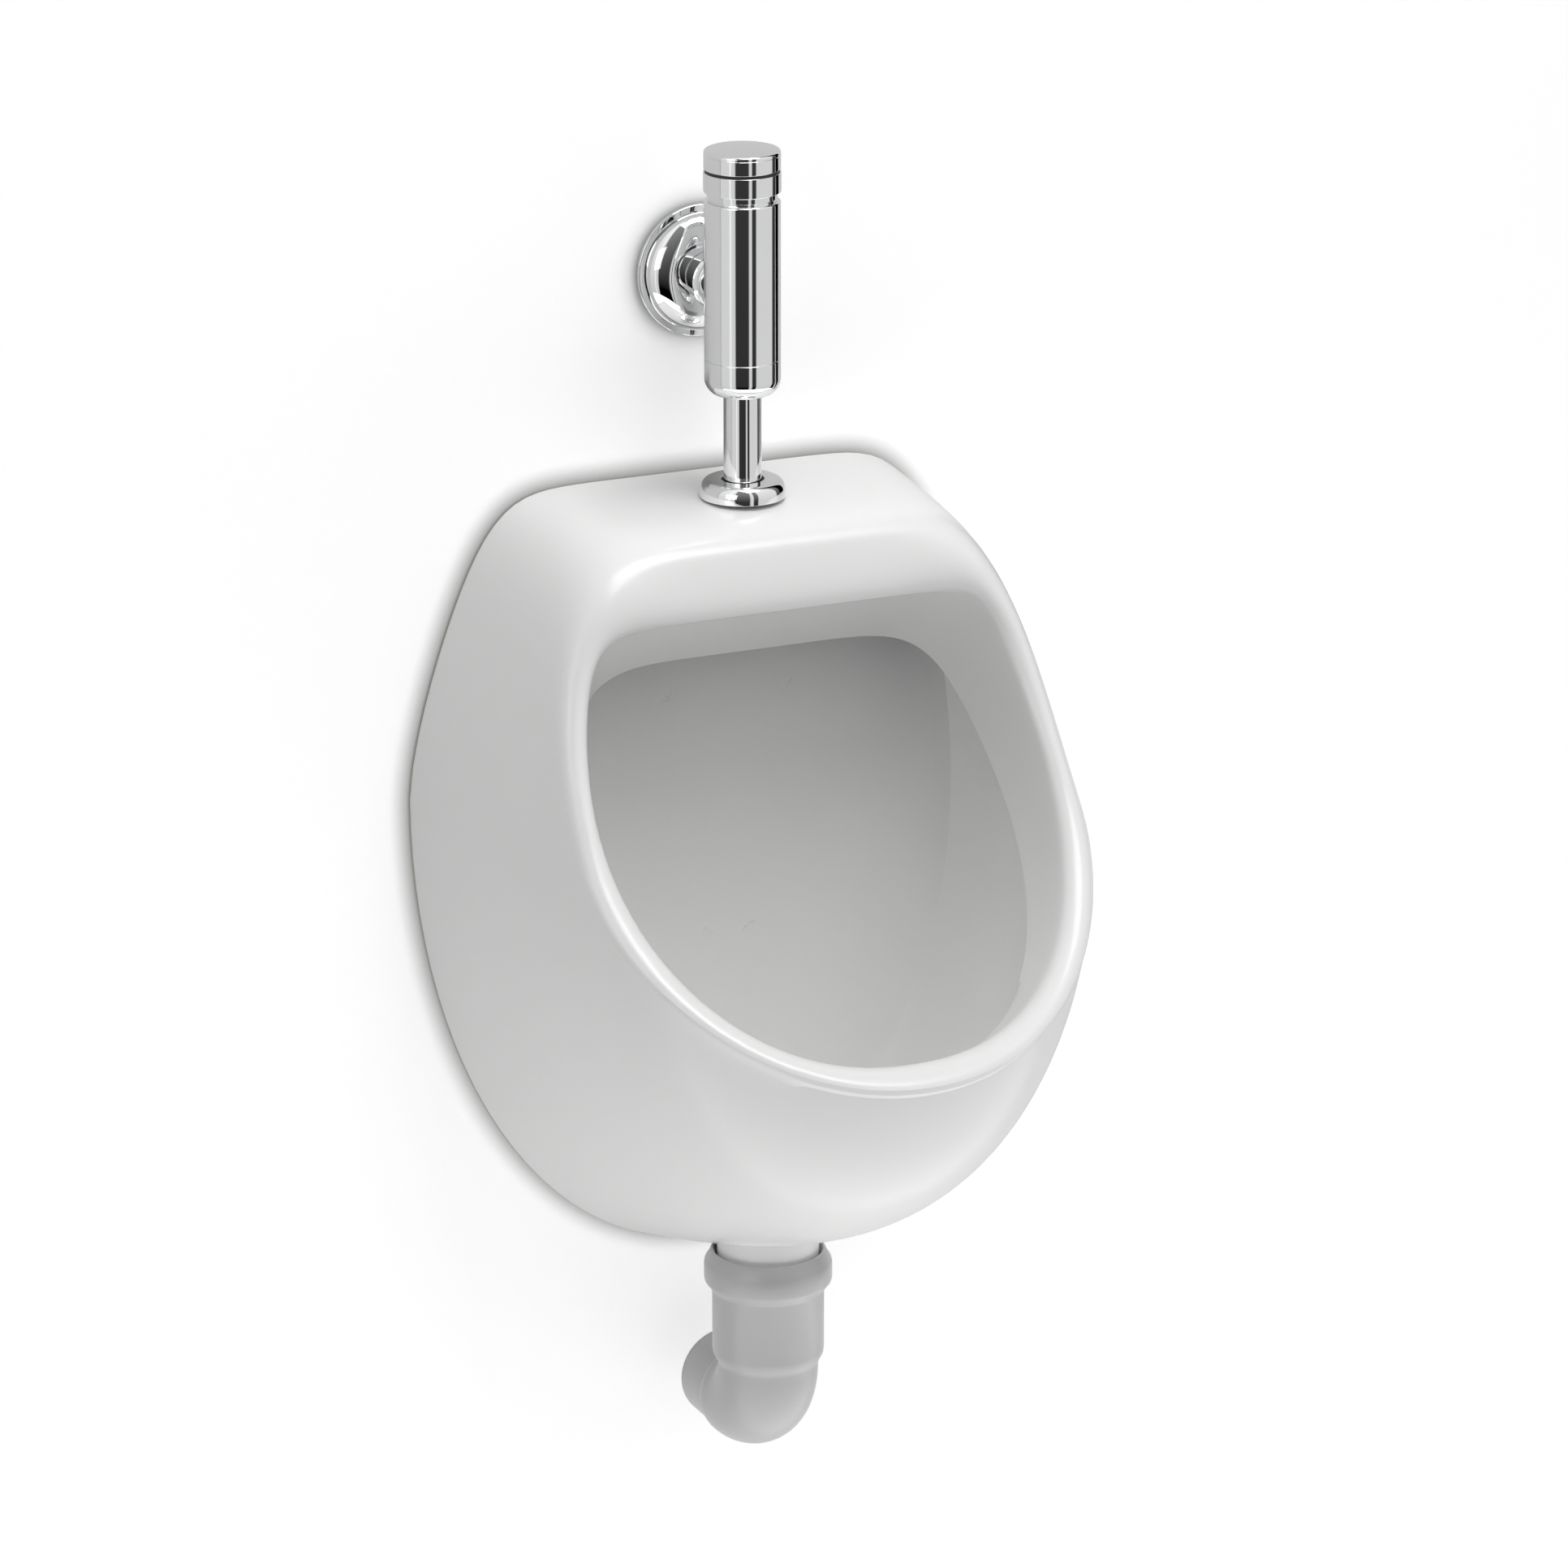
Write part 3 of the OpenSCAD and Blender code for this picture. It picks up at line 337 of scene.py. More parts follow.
def stage_paint(name, glow, shine, light=0):
    """Dull paint, clear from behind: a glow for the camera, a shine for mirrors, light for all,
    painted shade and painted light near things, and painted dark in reflections.
    """
    paint = bpy.data.materials.new(name)
    tree = Tree(paint)
    camera, mirrored = tree.rays("Is Camera Ray", "Is Glossy Ray")
    x, _, z = tree.axes(tree.add("ShaderNodeTexCoord", output="Object"))
    # Painted reflection: for mirrored rays the wall is painted dark to the right and above, and
    # grey in a patch behind the pipe.
    dark = x.above(*DARK_RIGHT) * z.above(*DARK_ABOVE)
    dark = dark + PAINTED_REFLECTION_GREY * x.between(*PAINTED_REFLECTION_SIDES) * z.between(*PAINTED_REFLECTION_LEVELS)
    painted_reflection_keep = 1 - mirrored * dark
    # Painted shade: the paint and the white for the camera are darkened near things, by Ambient
    # Occlusion, only above the level where the wall meets the floor.
    free = tree.add(
        "ShaderNodeAmbientOcclusion", {"samples": 8}, {"Distance": SHADE_REACH}, output=1,
    )
    painted_contact_shade = 1 - (1 - free) * z.above(*SHADE_ABOVE)
    level = PAINT_LEVEL * painted_reflection_keep * painted_contact_shade
    pale = tree.add("ShaderNodeCombineColor", None, dict.fromkeys(range(3), level))
    dull = tree.add("ShaderNodeBsdfDiffuse", None, {"Color": pale})
    # Painted light: the wall glows near things for all but the camera.
    painted_gap_glow = PAINTED_GAP_GLOW * (1 - painted_contact_shade) * (1 - camera)
    strength = (glow * camera * painted_contact_shade * painted_contact_shade + shine * mirrored + light) * painted_reflection_keep + painted_gap_glow
    lit = tree.add("ShaderNodeEmission", None, {"Color": WHITE, "Strength": strength})
    front = tree.add("ShaderNodeAddShader", None, {0: dull, 1: lit})
    clear = tree.add("ShaderNodeBsdfTransparent")
    behind = tree.add("ShaderNodeNewGeometry", output="Backfacing")
    surface = tree.add("ShaderNodeMixShader", None, {0: behind, 1: front, 2: clear})
    tree.add("ShaderNodeOutputMaterial", None, {"Surface": surface})
    return paint


def add_disc(name, reach, hole, place, turn, paint):
    """A wide flat ring in the XY plane, turned and put in place. Its face looks along +Z."""
    bm = bmesh.new()
    rings = []
    for wide, high in ((reach, reach), hole):
        made = bmesh.ops.create_circle(bm, segments=DISC_SIDES, radius=1)
        bmesh.ops.scale(bm, vec=(wide, high, 1), verts=made["verts"])
        rings.append(made["verts"])
    edges = list({e for ring in rings for v in ring for e in v.link_edges})
    bmesh.ops.bridge_loops(bm, edges=edges)
    bmesh.ops.recalc_face_normals(bm, faces=bm.faces)
    if next(iter(bm.faces)).normal.z < 0:
        bmesh.ops.reverse_faces(bm, faces=bm.faces)
    bmesh.ops.transform(bm, matrix=Matrix.Translation(place) @ turn, verts=bm.verts)
    mesh = bpy.data.meshes.new(name)
    bm.to_mesh(mesh)
    bm.free()
    mesh.materials.append(paint)
    disc = bpy.data.objects.new(name, mesh)
    bpy.context.scene.collection.objects.link(disc)
    print(name, "at", [round(c, 3) for c in place])


# Half widths and half heights of the holes. The floor's is too small to see.
WALL_HOLE = (0.115, 0.150)
FLOOR_HOLE = (1 * MM, 1 * MM)
HOLE_LIFT = 20 * MM
TO_ROOM = Matrix.Rotation(math.radians(90), 4, "X")
hole_level = (ceramic_low.z + ceramic_high.z) / 2 + HOLE_LIFT
add_disc(
    "stage_wall", WALL_REACH, WALL_HOLE, Vector((0, WALL_GAP, hole_level)), TO_ROOM,
    stage_paint("wall_paint", WALL_GLOW, WALL_SHINE),
)
floor_level = cad_box[0].z - FLOOR_DROP
add_disc(
    "stage_floor", FLOOR_REACH, FLOOR_HOLE, Vector((0, 0, floor_level)), Matrix.Identity(4),
    stage_paint("floor_paint", FLOOR_GLOW, FLOOR_GLOW, FLOOR_LIGHT),
)

# %% [markdown]
# ## Finishes
# Every finish is one Principled shader whose colour, roughness and bump change over
# the piece. The pattern is read from Object coordinates, so it keeps its real size
# on every piece, and the helpers below take care of what all the finishes share.

# %% Helpers for the finishes
def new_finish(name, build):
    """A material whose Principled sockets are what build(tree, place) returns."""
    made = bpy.data.materials.new(name)
    tree = Tree(made)
    place = tree.add("ShaderNodeTexCoord", output="Object")
    shader = tree.add("ShaderNodeBsdfPrincipled", None, build(tree, place))
    tree.add("ShaderNodeOutputMaterial", None, {"Surface": shader})
    print("finish", name, len(tree.nodes), "nodes")
    return made


def noise(tree, place, scale, detail=2.0, stretch=(1, 1, 1)):
    """Soft noise, by its scale in cells a metre, stretched along the axes."""
    wide = tree.add("ShaderNodeMapping", None, {"Vector": place, "Scale": stretch})
    return tree.add("ShaderNodeTexNoise", None, {"Vector": wide, "Scale": scale, "Detail": detail})


def bump(tree, height, strength, depth):
    """A normal bent by a height, whose full depth is in metres."""
    return tree.add(
        "ShaderNodeBump", None, {"Height": height, "Strength": strength, "Distance": depth},
    )


def blend(tree, share, first, second):
    """A colour between two, by a share."""
    return tree.add(
        "ShaderNodeMix", {"data_type": "RGBA"}, {0: share, 6: first, 7: second}, output=2,
    )


# %% [markdown]
# The glaze on sanitary ware is a thin coat of glass over white clay. It flows a
# little in the kiln, so its surface has long, very low waves, and the clay below
# shows through almost evenly. The back edge that touches the wall is left without
# glaze, and is dull and slightly warm. A Principled shader with a coat does this.

# %% Glazed ceramic
BACK_EDGE = 1.2 * MM
# The recess is what faces the wall and lies no deeper than this: level and softness
RECESS_FACING = (0.6, 0.1)
RECESS_DEPTH = (-45 * MM, 4 * MM)
GLAZE_TONES = (0.905, 0.905, 0.900, 1), (0.925, 0.925, 0.922, 1)
CLAY_TONES = (0.80, 0.775, 0.73, 1), (0.88, 0.86, 0.82, 1)


def glaze_build(tree, place):
    """White glaze with kiln waves, and bare clay on the back edge and in the recess."""
    y = tree.axes(place)[1]
    facing = tree.axes(tree.add("ShaderNodeNewGeometry", output="Normal"))[1]
    edge = y.above(-BACK_EDGE, BACK_EDGE / 4)
    recess = facing.above(*RECESS_FACING) * y.above(*RECESS_DEPTH)
    bare = edge.maths("MAXIMUM", edge, recess)
    waves = noise(tree, place, 34, 1.0)
    cloud = noise(tree, place, 9, 2.0)
    grain = noise(tree, place, 1400, 3.0)
    white = blend(tree, cloud, *GLAZE_TONES)
    clay = blend(tree, grain, *CLAY_TONES)
    return {
        "Base Color": blend(tree, bare, white, clay),
        "Roughness": 0.30 + 0.06 * cloud + 0.45 * bare,
        "Coat Weight": 0.45 * (1 - bare),
        "Coat Roughness": 0.18,
        "IOR": 1.5,
        "Normal": bump(tree, waves, 0.10, 0.6 * MM),
    }


glaze = new_finish("white_glaze", glaze_build)

# %% [markdown]
# Chrome plate is a mirror that is almost neutral. What keeps it from looking like
# computer chrome is small: a haze of wiping that changes how sharp the mirror is,
# and a surface that isn't perfectly flat.

# %% Chrome
CHROME_TONES = (0.86, 0.865, 0.87, 1), (0.90, 0.90, 0.905, 1)


def chrome_build(tree, place):
    """A neutral mirror with a faint haze."""
    haze = noise(tree, place, 60, 3.0)
    fine = noise(tree, place, 900, 2.0)
    return {
        "Base Color": blend(tree, haze, *CHROME_TONES),
        "Metallic": 1.0,
        "Roughness": 0.025 + 0.035 * haze,
        "Normal": bump(tree, fine, 0.02, 0.05 * MM),
    }


chrome = new_finish("chrome_plate", chrome_build)

# %% [markdown]
# The waste elbow is moulded from pale grey plastic. Its skin is dull where it is
# seen straight on, because the mould is lightly blasted, and paler towards its edges.
# A rough coat and some sheen give that. It is slightly cloudy where the plastic flowed.

# %% Moulded plastic
PLASTIC_TONES = (0.470, 0.470, 0.473, 1), (0.505, 0.505, 0.507, 1)


def plastic_build(tree, place):
    """Pale grey plastic with a blasted grain."""
    grain = noise(tree, place, 2600, 2.0)
    flow = noise(tree, place, 22, 2.0, (1, 1, 0.5))
    return {
        "Base Color": blend(tree, flow, *PLASTIC_TONES),
        "Roughness": 0.36 + 0.10 * grain,
        "IOR": 1.6,
        "Coat Weight": 0.8,
        "Coat Roughness": 0.28,
        "Sheen Weight": 0.60,
        "Sheen Roughness": 0.35,
        "Normal": bump(tree, grain, 0.12, 0.08 * MM),
    }


plastic = new_finish("elbow_plastic", plastic_build)

# %% [markdown]
# Seals and the dark ring in the button are black rubber: dark but not black, and
# dull, with a fine grain.

# %% Rubber
RUBBER_TONES = (0.012, 0.012, 0.013, 1), (0.030, 0.030, 0.031, 1)


def rubber_build(tree, place):
    """Black rubber with a fine grain."""
    grain = noise(tree, place, 1800, 3.0)
    return {
        "Base Color": blend(tree, grain, *RUBBER_TONES),
        "Roughness": 0.42 + 0.16 * grain,
        "Normal": bump(tree, grain, 0.2, 0.06 * MM),
    }


rubber = new_finish("black_rubber", rubber_build)

# %% [markdown]
# Inside the valve the metal is bare. Turned brass has fine rings from the lathe,
# so its noise is stretched thin along the axis of turning. The stainless pieces
# are brushed the same way, only finer and paler.

# %% Turned brass and stainless steel
BRASS_TONES = (0.72, 0.55, 0.27, 1), (0.86, 0.70, 0.40, 1)
STEEL_TONES = (0.56, 0.57, 0.58, 1), (0.70, 0.70, 0.71, 1)


def brass_build(tree, place):
    """Bare brass with lathe rings."""
    rings = noise(tree, place, 60, 2.0, (1, 1, 45))
    stain = noise(tree, place, 120, 3.0)
    return {
        "Base Color": blend(tree, stain, *BRASS_TONES),
        "Metallic": 1.0,
        "Roughness": 0.22 + 0.16 * rings,
        "Normal": bump(tree, rings, 0.25, 0.06 * MM),
    }


def steel_build(tree, place):
    """Stainless steel, brushed along its width."""
    brush = noise(tree, place, 50, 3.0, (1, 8, 60))
    return {
        "Base Color": blend(tree, brush, *STEEL_TONES),
        "Metallic": 1.0,
        "Roughness": 0.28 + 0.16 * brush,
        "Normal": bump(tree, brush, 0.2, 0.05 * MM),
    }


brass = new_finish("turned_brass", brass_build)
steel = new_finish("brushed_steel", steel_build)
FINISHES = {
    "ceramic": glaze, "chrome": chrome, "plastic": plastic,
    "rubber": rubber, "brass": brass, "steel": steel,
}

# %% [markdown]
# ## Every CAD piece gets its finish
# The record says which finish each piece has. The CAD pieces keep their meshes:
# only their material slots change.

# %% Finishes on the CAD pieces
slot_of = {part["node"]: part["material_slot"] for part in frame["record"]["subparts"]}
for node_name, node_object in frame["nodes"].items():
    node_object.data.materials.clear()
    node_object.data.materials.append(FINISHES[slot_of[node_name]])
print("dressed", len(slot_of), "nodes in", len(FINISHES), "finishes")

# %% [markdown]
# ## Ceramic
# The ceramic is one cast shell, and its shape comes from CAD as triangles. A copy
# is merged, and its triangles are joined back to four-sided faces, so that one
# level of subdivision rounds the facets away. Edges that are meant to be sharp,
# as at the outlet and the lugs behind, are creased first and stay.

# %% A copy of a CAD piece that can be finished
MERGE = 0.02 * MM
SHARP = 35


def is_sharp(edge, angle):
    """Whether two faces meet at the edge at more than an angle in degrees."""
    return edge.is_manifold and edge.calc_face_angle(0) > math.radians(angle)


def add_piece(name, bm, finish, sharp=SHARP):
    """Makes a bmesh an object, smooth but for edges over an angle in degrees."""
    for face in bm.faces:
        face.smooth = True
    for edge in bm.edges:
        if is_sharp(edge, sharp):
            edge.smooth = False
    mesh = bpy.data.meshes.new(name)
    bm.to_mesh(mesh)
    bm.free()
    mesh.materials.append(finish)
    piece = bpy.data.objects.new(name, mesh)
    bpy.context.scene.collection.objects.link(piece)
    return piece


def stand_in(piece, node):
    """The piece rides with the CAD node's body, and the CAD node is hidden."""
    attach(piece, frame["nodes"][node]["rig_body"])
    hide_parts(node)


def merged_copy(node):
    """The CAD node's mesh as a bmesh, with its doubles merged."""
    bm = bmesh.new()
    bm.from_mesh(frame["nodes"][node].data)
    bmesh.ops.remove_doubles(bm, verts=bm.verts, dist=MERGE)
    bmesh.ops.dissolve_degenerate(bm, edges=bm.edges, dist=MERGE)
    return bm


# %% Ceramic shell
CERAMIC_SHARP = 32
# Two triangles become one quad where they are this flat and this near a rectangle
QUAD_FLAT = math.radians(25)
QUAD_SKEW = math.radians(50)


def make_ceramic():
    """The ceramic shell, its quads found again and rounded by one subdivision."""
    bm = merged_copy("ceramic_body")
    crease = bm.edges.layers.float.new("crease_edge")
    for edge in bm.edges:
        if is_sharp(edge, CERAMIC_SHARP):
            edge[crease] = 1
    triangles = len(bm.faces)
    bmesh.ops.join_triangles(
        bm, faces=bm.faces, angle_face_threshold=QUAD_FLAT, angle_shape_threshold=QUAD_SKEW,
    )
    print("ceramic", triangles, "triangles, then", len(bm.faces), "faces")
    piece = add_piece("ceramic_shell", bm, glaze, CERAMIC_SHARP)
    rounded = piece.modifiers.new("rounded", "SUBSURF")
    rounded.levels = rounded.render_levels = 1
    stand_in(piece, "ceramic_body")


make_ceramic()

# %% [markdown]
# ## Turned pieces
# The cap, the valve, the nut, the pipe, the flange and the rosette are all turned
# on a lathe, and so are they here: a profile of corners is spun once round its
# axis. The corners that catch the light are then rounded with a bevel, each by its
# own radius, since a real edge is never quite sharp.

# %% Spinning a profile
TURNS = 128
ROUND_STEPS = 4
# Two corners closer than this are one
TOUCHING = 1e-6


def spin_profile(bm, corners):
    """Spins corners of radius, height and rounding about Z, and rounds them."""
    verts = [bm.verts.new((c[0], 0, c[1])) for c in corners]
    edges = [bm.edges.new(pair) for pair in zip(verts, verts[1:])]
    if corners[0][0] > 0 or corners[-1][0] > 0:
        edges.append(bm.edges.new((verts[-1], verts[0])))
    bmesh.ops.spin(
        bm, geom=verts + edges, cent=(0, 0, 0), axis=(0, 0, 1), dvec=(0, 0, 0),
        angle=math.radians(360), steps=TURNS, use_merge=True, use_duplicate=False,
    )
    bmesh.ops.remove_doubles(bm, verts=bm.verts, dist=TOUCHING)
    bmesh.ops.recalc_face_normals(bm, faces=bm.faces)
    for corner in corners:
        if len(corner) > 2:
            round_ring(bm, corner)


def round_ring(bm, corner):
    """Bevels the ring of edges at a corner of radius, height and rounding."""
    radius, height, size = corner

    def on_ring(vert):
        off = abs(vert.co.z - height), abs(vert.co.xy.length - radius)
        return max(off) < TOUCHING

    ring = [e for e in bm.edges if on_ring(e.verts[0]) and on_ring(e.verts[1])]
    bmesh.ops.bevel(
        bm, geom=ring, offset=size, offset_type="OFFSET", segments=ROUND_STEPS, profile=0.5,
        affect="EDGES", clamp_overlap=True, material=-1,
    )


def make_turned(name, node, corners, place, turn=Matrix.Identity(4), sharp=SHARP):
    """A turned piece in the place of a CAD node."""
    bm = bmesh.new()
    spin_profile(bm, corners)
    bmesh.ops.transform(bm, matrix=Matrix.Translation(place) @ turn, verts=bm.verts)
    piece = add_piece(name, bm, FINISHES[slot_of[node]], sharp)
    even = piece.modifiers.new("even_normals", "WEIGHTED_NORMAL")
    even.keep_sharp = True
    print(name, "corners", len(corners))
    stand_in(piece, node)


def radius_of(node):
    """Half the width of a CAD node along X."""
    low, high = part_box(node)
    return (high.x - low.x) / 2


def levels_of(node):
    """The lowest and highest level of a CAD node."""
    return [corner.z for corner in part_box(node)]


def arc(centre, wide, high, start, end, steps=10):
    """Corners along part of an ellipse, by its centre's radius and height and two angles."""
    found = []
    for i in range(steps + 1):
        angle = math.radians(start + (end - start) * i / steps)
        found.append((centre[0] + wide * math.cos(angle), centre[1] + high * math.sin(angle)))
    return found


cap_low, cap_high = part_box("push_cap")
VALVE_AXIS = Vector((0, (cap_low.y + cap_high.y) / 2, 0))
print("valve axis", [round(c, 4) for c in VALVE_AXIS])

# %% [markdown]
# The flush pipe is a thin chromed tube. A cover slides down it and hides the nut in
# the ceramic: its top is flat, its shoulder round and its edge straight. It is drawn
# hollow, because the nut stands inside.

# %% Flush pipe
PIPE_WALL = 1 * MM
PIPE_LIP = 0.2 * MM


def make_pipe():
    """The flush pipe, with small rounded ends."""
    low, high = levels_of("flush_pipe")
    outer = radius_of("flush_pipe")
    inner = outer - PIPE_WALL
    corners = [(inner, low), (outer, low, PIPE_LIP), (outer, high, PIPE_LIP), (inner, high)]
    make_turned("flush_pipe_tube", "flush_pipe", corners, VALVE_AXIS)


make_pipe()

# %% Flange of the pipe
FLANGE_EDGE = 2.4 * MM
FLANGE_ROUND = 4.6 * MM
FLANGE_ROOF = 2 * MM
FLANGE_POCKET = 19.3 * MM
PIPE_ROOM = 1.2 * MM


def make_flange():
    """The flange that hides the spud nut: a flat top, a round shoulder and a straight edge."""
    low, high = levels_of("pipe_flange")
    outer = radius_of("pipe_flange")
    hole = radius_of("flush_pipe") + PIPE_ROOM
    flat = outer - FLANGE_ROUND
    shoulder = arc((flat, low + FLANGE_EDGE), FLANGE_ROUND, high - low - FLANGE_EDGE, 0, 90)
    corners = [(FLANGE_POCKET, low), (outer, low, 0.25 * MM), *shoulder,
        (hole, high, 0.35 * MM), (hole, high - FLANGE_ROOF), (FLANGE_POCKET, high - FLANGE_ROOF)]
    make_turned("pipe_flange_cover", "pipe_flange", corners, VALVE_AXIS)


make_flange()

# %% [markdown]
# The valve is three turned pieces in a row: a nut with a bowl-shaped end, the long
# body, and a bonnet whose neck shows as a bright step below the button. Each seam
# between them is two small chamfers that meet, which the eye sees as a thin line.

# %% Outlet nut
NUT_ROUND = 9 * MM
NUT_ROOM = 0.4 * MM
SEAM = 0.35 * MM
TAIL_INSET = 4.6 * MM
SOCKET_ROOM = 0.1 * MM
NUT_SEAL = 2.5 * MM
valve_radius = radius_of("outlet_nut")
nut_low, nut_high = levels_of("outlet_nut")
tail_radius = valve_radius - TAIL_INSET
tail_low, body_high = levels_of("valve_body")
pipe_radius = radius_of("flush_pipe")


def make_nut():
    """The outlet nut, which narrows in a round bowl towards the pipe."""
    hole = pipe_radius + NUT_ROOM
    socket = tail_radius + SOCKET_ROOM
    seat = tail_low - NUT_SEAL
    bowl = arc((valve_radius - NUT_ROUND, nut_low + NUT_ROUND), NUT_ROUND, NUT_ROUND, -90, 0, 14)
    corners = [(hole, nut_low, 0.3 * MM), *bowl, (valve_radius, nut_high, SEAM),
        (socket, nut_high), (socket, seat), (hole, seat)]
    make_turned("outlet_nut_turned", "outlet_nut", corners, VALVE_AXIS)


make_nut()

# %% Valve body
BODY_ROUND = 1.2 * MM
BORE_INSET = 5.6 * MM
BONNET_SEAT = 15.7 * MM
THREAD_INSET = 3.1 * MM
THROAT = 8.5 * MM
sleeve_low, sleeve_high = levels_of("cartridge_sleeve")
pipe_high = levels_of("flush_pipe")[1]


def make_valve_body():
    """The valve body, with its bore, and a seam at its lower end."""
    bore = valve_radius - BORE_INSET
    thread = valve_radius - THREAD_INSET
    socket = pipe_radius + SOCKET_ROOM
    corners = [(socket, tail_low), (tail_radius, tail_low), (tail_radius, nut_high),
        (valve_radius, nut_high, SEAM), (valve_radius, body_high, BODY_ROUND),
        (thread, body_high), (thread, body_high - BONNET_SEAT), (bore, body_high - BONNET_SEAT),
        (bore, sleeve_low), (THROAT, sleeve_low), (THROAT, pipe_high), (socket, pipe_high)]
    make_turned("valve_body_turned", "valve_body", corners, VALVE_AXIS)


make_valve_body()

# %% Bonnet
NECK_RADIUS = 18 * MM
NECK_STEP = 1.2 * MM
NECK_GROOVE = 0.9 * MM
SEAL_DEPTH = 1.4 * MM
SEAL_HALF = 0.9 * MM
STEM_RADIUS = 3 * MM
STEM_ROOM = 0.05 * MM
BODY_ROOM = 0.05 * MM
THREAD_ROOM = 0.1 * MM
SPRING_INSET = 2.7 * MM
BONNET_ROOM = 0.2 * MM


def make_bonnet():
    """The bonnet, from the sleeve up to the neck that the button slides over."""
    high = levels_of("bonnet")[1]
    bore = valve_radius - BORE_INSET
    body = bore - BODY_ROOM
    thread = valve_radius - THREAD_INSET - THREAD_ROOM
    seal = sum(levels_of("bonnet_seal")) / 2
    groove = bore - SEAL_DEPTH
    stem = STEM_RADIUS + STEM_ROOM
    room = bore - SPRING_INSET
    step = body_high + NECK_STEP
    inner_neck = NECK_RADIUS - NECK_GROOVE
    corners = [(room, sleeve_high), (body, sleeve_high), (body, seal - SEAL_HALF),
        (groove, seal - SEAL_HALF), (groove, seal + SEAL_HALF), (body, seal + SEAL_HALF),
        (body, body_high - BONNET_SEAT), (thread, body_high - BONNET_SEAT), (thread, body_high),
        (inner_neck, body_high), (inner_neck, step),
        (NECK_RADIUS, step, 0.25 * MM), (NECK_RADIUS, high, 0.3 * MM),
        (stem, high), (stem, body_high + BONNET_ROOM), (room, body_high + BONNET_ROOM)]
    make_turned("bonnet_turned", "bonnet", corners, VALVE_AXIS)


make_bonnet()

# %% [markdown]
# The button is a cap with a very low dome, a skirt below it, and a dark rubber ring
# between the two. It rides on the body that the CAD calls the button, so it goes
# down with the stem. A fine groove runs round the cap just under its top edge.

# %% Push cap
CAP_ROUND = 1.5 * MM
CAP_GROOVE_DROP = 3.3 * MM
CAP_GROOVE = 0.22 * MM
PLUG_INSET = 5 * MM
HUB = 6 * MM
WEB = 2 * MM
CAP_DOME = 1 * MM
ring_low, ring_high = levels_of("button_ring")
button_radius = radius_of("button_skirt")
cap_top = levels_of("push_cap")[1]


def make_cap():
    """The push cap, with its dome, its groove, and the plug that holds the ring."""
    outer = radius_of("push_cap")
    shoulder = cap_top - CAP_DOME
    half = outer - CAP_ROUND
    dome_radius = (half * half + CAP_DOME * CAP_DOME) / 2 / CAP_DOME
    spread = math.degrees(math.asin(half / dome_radius))
    dome = arc((0, cap_top - dome_radius), dome_radius, dome_radius, 90 - spread, 90, 16)
    edge = arc((half, shoulder - CAP_ROUND), CAP_ROUND, CAP_ROUND, 0, 78, 8)
    groove = cap_top - CAP_GROOVE_DROP
    plug = button_radius - PLUG_INSET
    stem = STEM_RADIUS + STEM_ROOM
    stem_top = levels_of("stem")[1]
    low = ring_low - WEB
    corners = [(0, stem_top), (stem, stem_top), (stem, low), (HUB, low), (HUB, ring_low),
        (plug, ring_low), (plug, ring_high), (outer, ring_high, 0.3 * MM),
        (outer, groove - CAP_GROOVE), (outer - CAP_GROOVE, groove), (outer, groove + CAP_GROOVE),
        *edge, *dome[1:-1], (0, cap_top)]
    make_turned("push_cap_turned", "push_cap", corners, VALVE_AXIS, sharp=30)


make_cap()

# %% Ring and skirt
BUTTON_ROOM = 0.1 * MM
SKIRT_BORE = 18.3 * MM
skirt_low, skirt_high = levels_of("button_skirt")


def make_ring():
    """The dark ring between the cap and the skirt."""
    inner = button_radius - PLUG_INSET + BUTTON_ROOM
    outer = radius_of("button_ring")
    corners = [(inner, ring_low), (outer, ring_low), (outer, ring_high), (inner, ring_high)]
    make_turned("button_ring_moulded", "button_ring", corners, VALVE_AXIS)


def make_skirt():
    """The skirt that slides over the neck of the bonnet."""
    hub = HUB + BUTTON_ROOM
    corners = [(SKIRT_BORE, skirt_low), (button_radius, skirt_low, 0.5 * MM),
        (button_radius, skirt_high, 0.3 * MM), (hub, skirt_high), (hub, skirt_high - WEB),
        (SKIRT_BORE, skirt_high - WEB)]
    make_turned("button_skirt_turned", "button_skirt", corners, VALVE_AXIS)


make_ring()
make_skirt()

# %% [markdown]
# A short arm brings the water from the wall. Where it leaves the wall, a thin
# pressed rosette hides the hole, and a plain collar sits against the valve. Both
# are turned about the arm's own line, which runs along Y.

# %% Wall rosette
ARM_RADIUS = 13 * MM
ROSETTE_ROOM = 0.1 * MM
ROSETTE_RIM = 2 * MM
ROSETTE_STEP = 3.5 * MM
ROSETTE_WALL = 1.2 * MM
ROSETTE_NECK = 4 * MM
rosette_low, rosette_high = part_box("wall_rosette")
ARM_PLACE = Vector((0, 0, (rosette_low.z + rosette_high.z) / 2))


def make_rosette():
    """The pressed rosette: a thin rim and a dome that closes in on the arm."""
    outer = radius_of("wall_rosette")
    high = -rosette_low.y
    hole = ARM_RADIUS + ROSETTE_ROOM
    shell = hole + ROSETTE_NECK
    dome = outer - ROSETTE_STEP
    outside = arc((shell, ROSETTE_RIM), dome - shell, high - ROSETTE_RIM, 0, 90, 16)
    inside = arc((shell, ROSETTE_RIM - ROSETTE_WALL), dome - shell - ROSETTE_WALL,
        high - ROSETTE_RIM, 90, 0, 16)
    corners = [(outer - ROSETTE_WALL, 0), (outer, 0), (outer, ROSETTE_RIM, 0.7 * MM), *outside,
        (hole, high, 0.3 * MM), (hole, high - ROSETTE_WALL), *inside, (dome - ROSETTE_WALL, 0)]
    make_turned("wall_rosette_pressed", "wall_rosette", corners, ARM_PLACE, TO_ROOM)


make_rosette()

# %% Inlet collar
COLLAR_ROOM = 0.05 * MM
COLLAR_BEVEL = 0.8 * MM


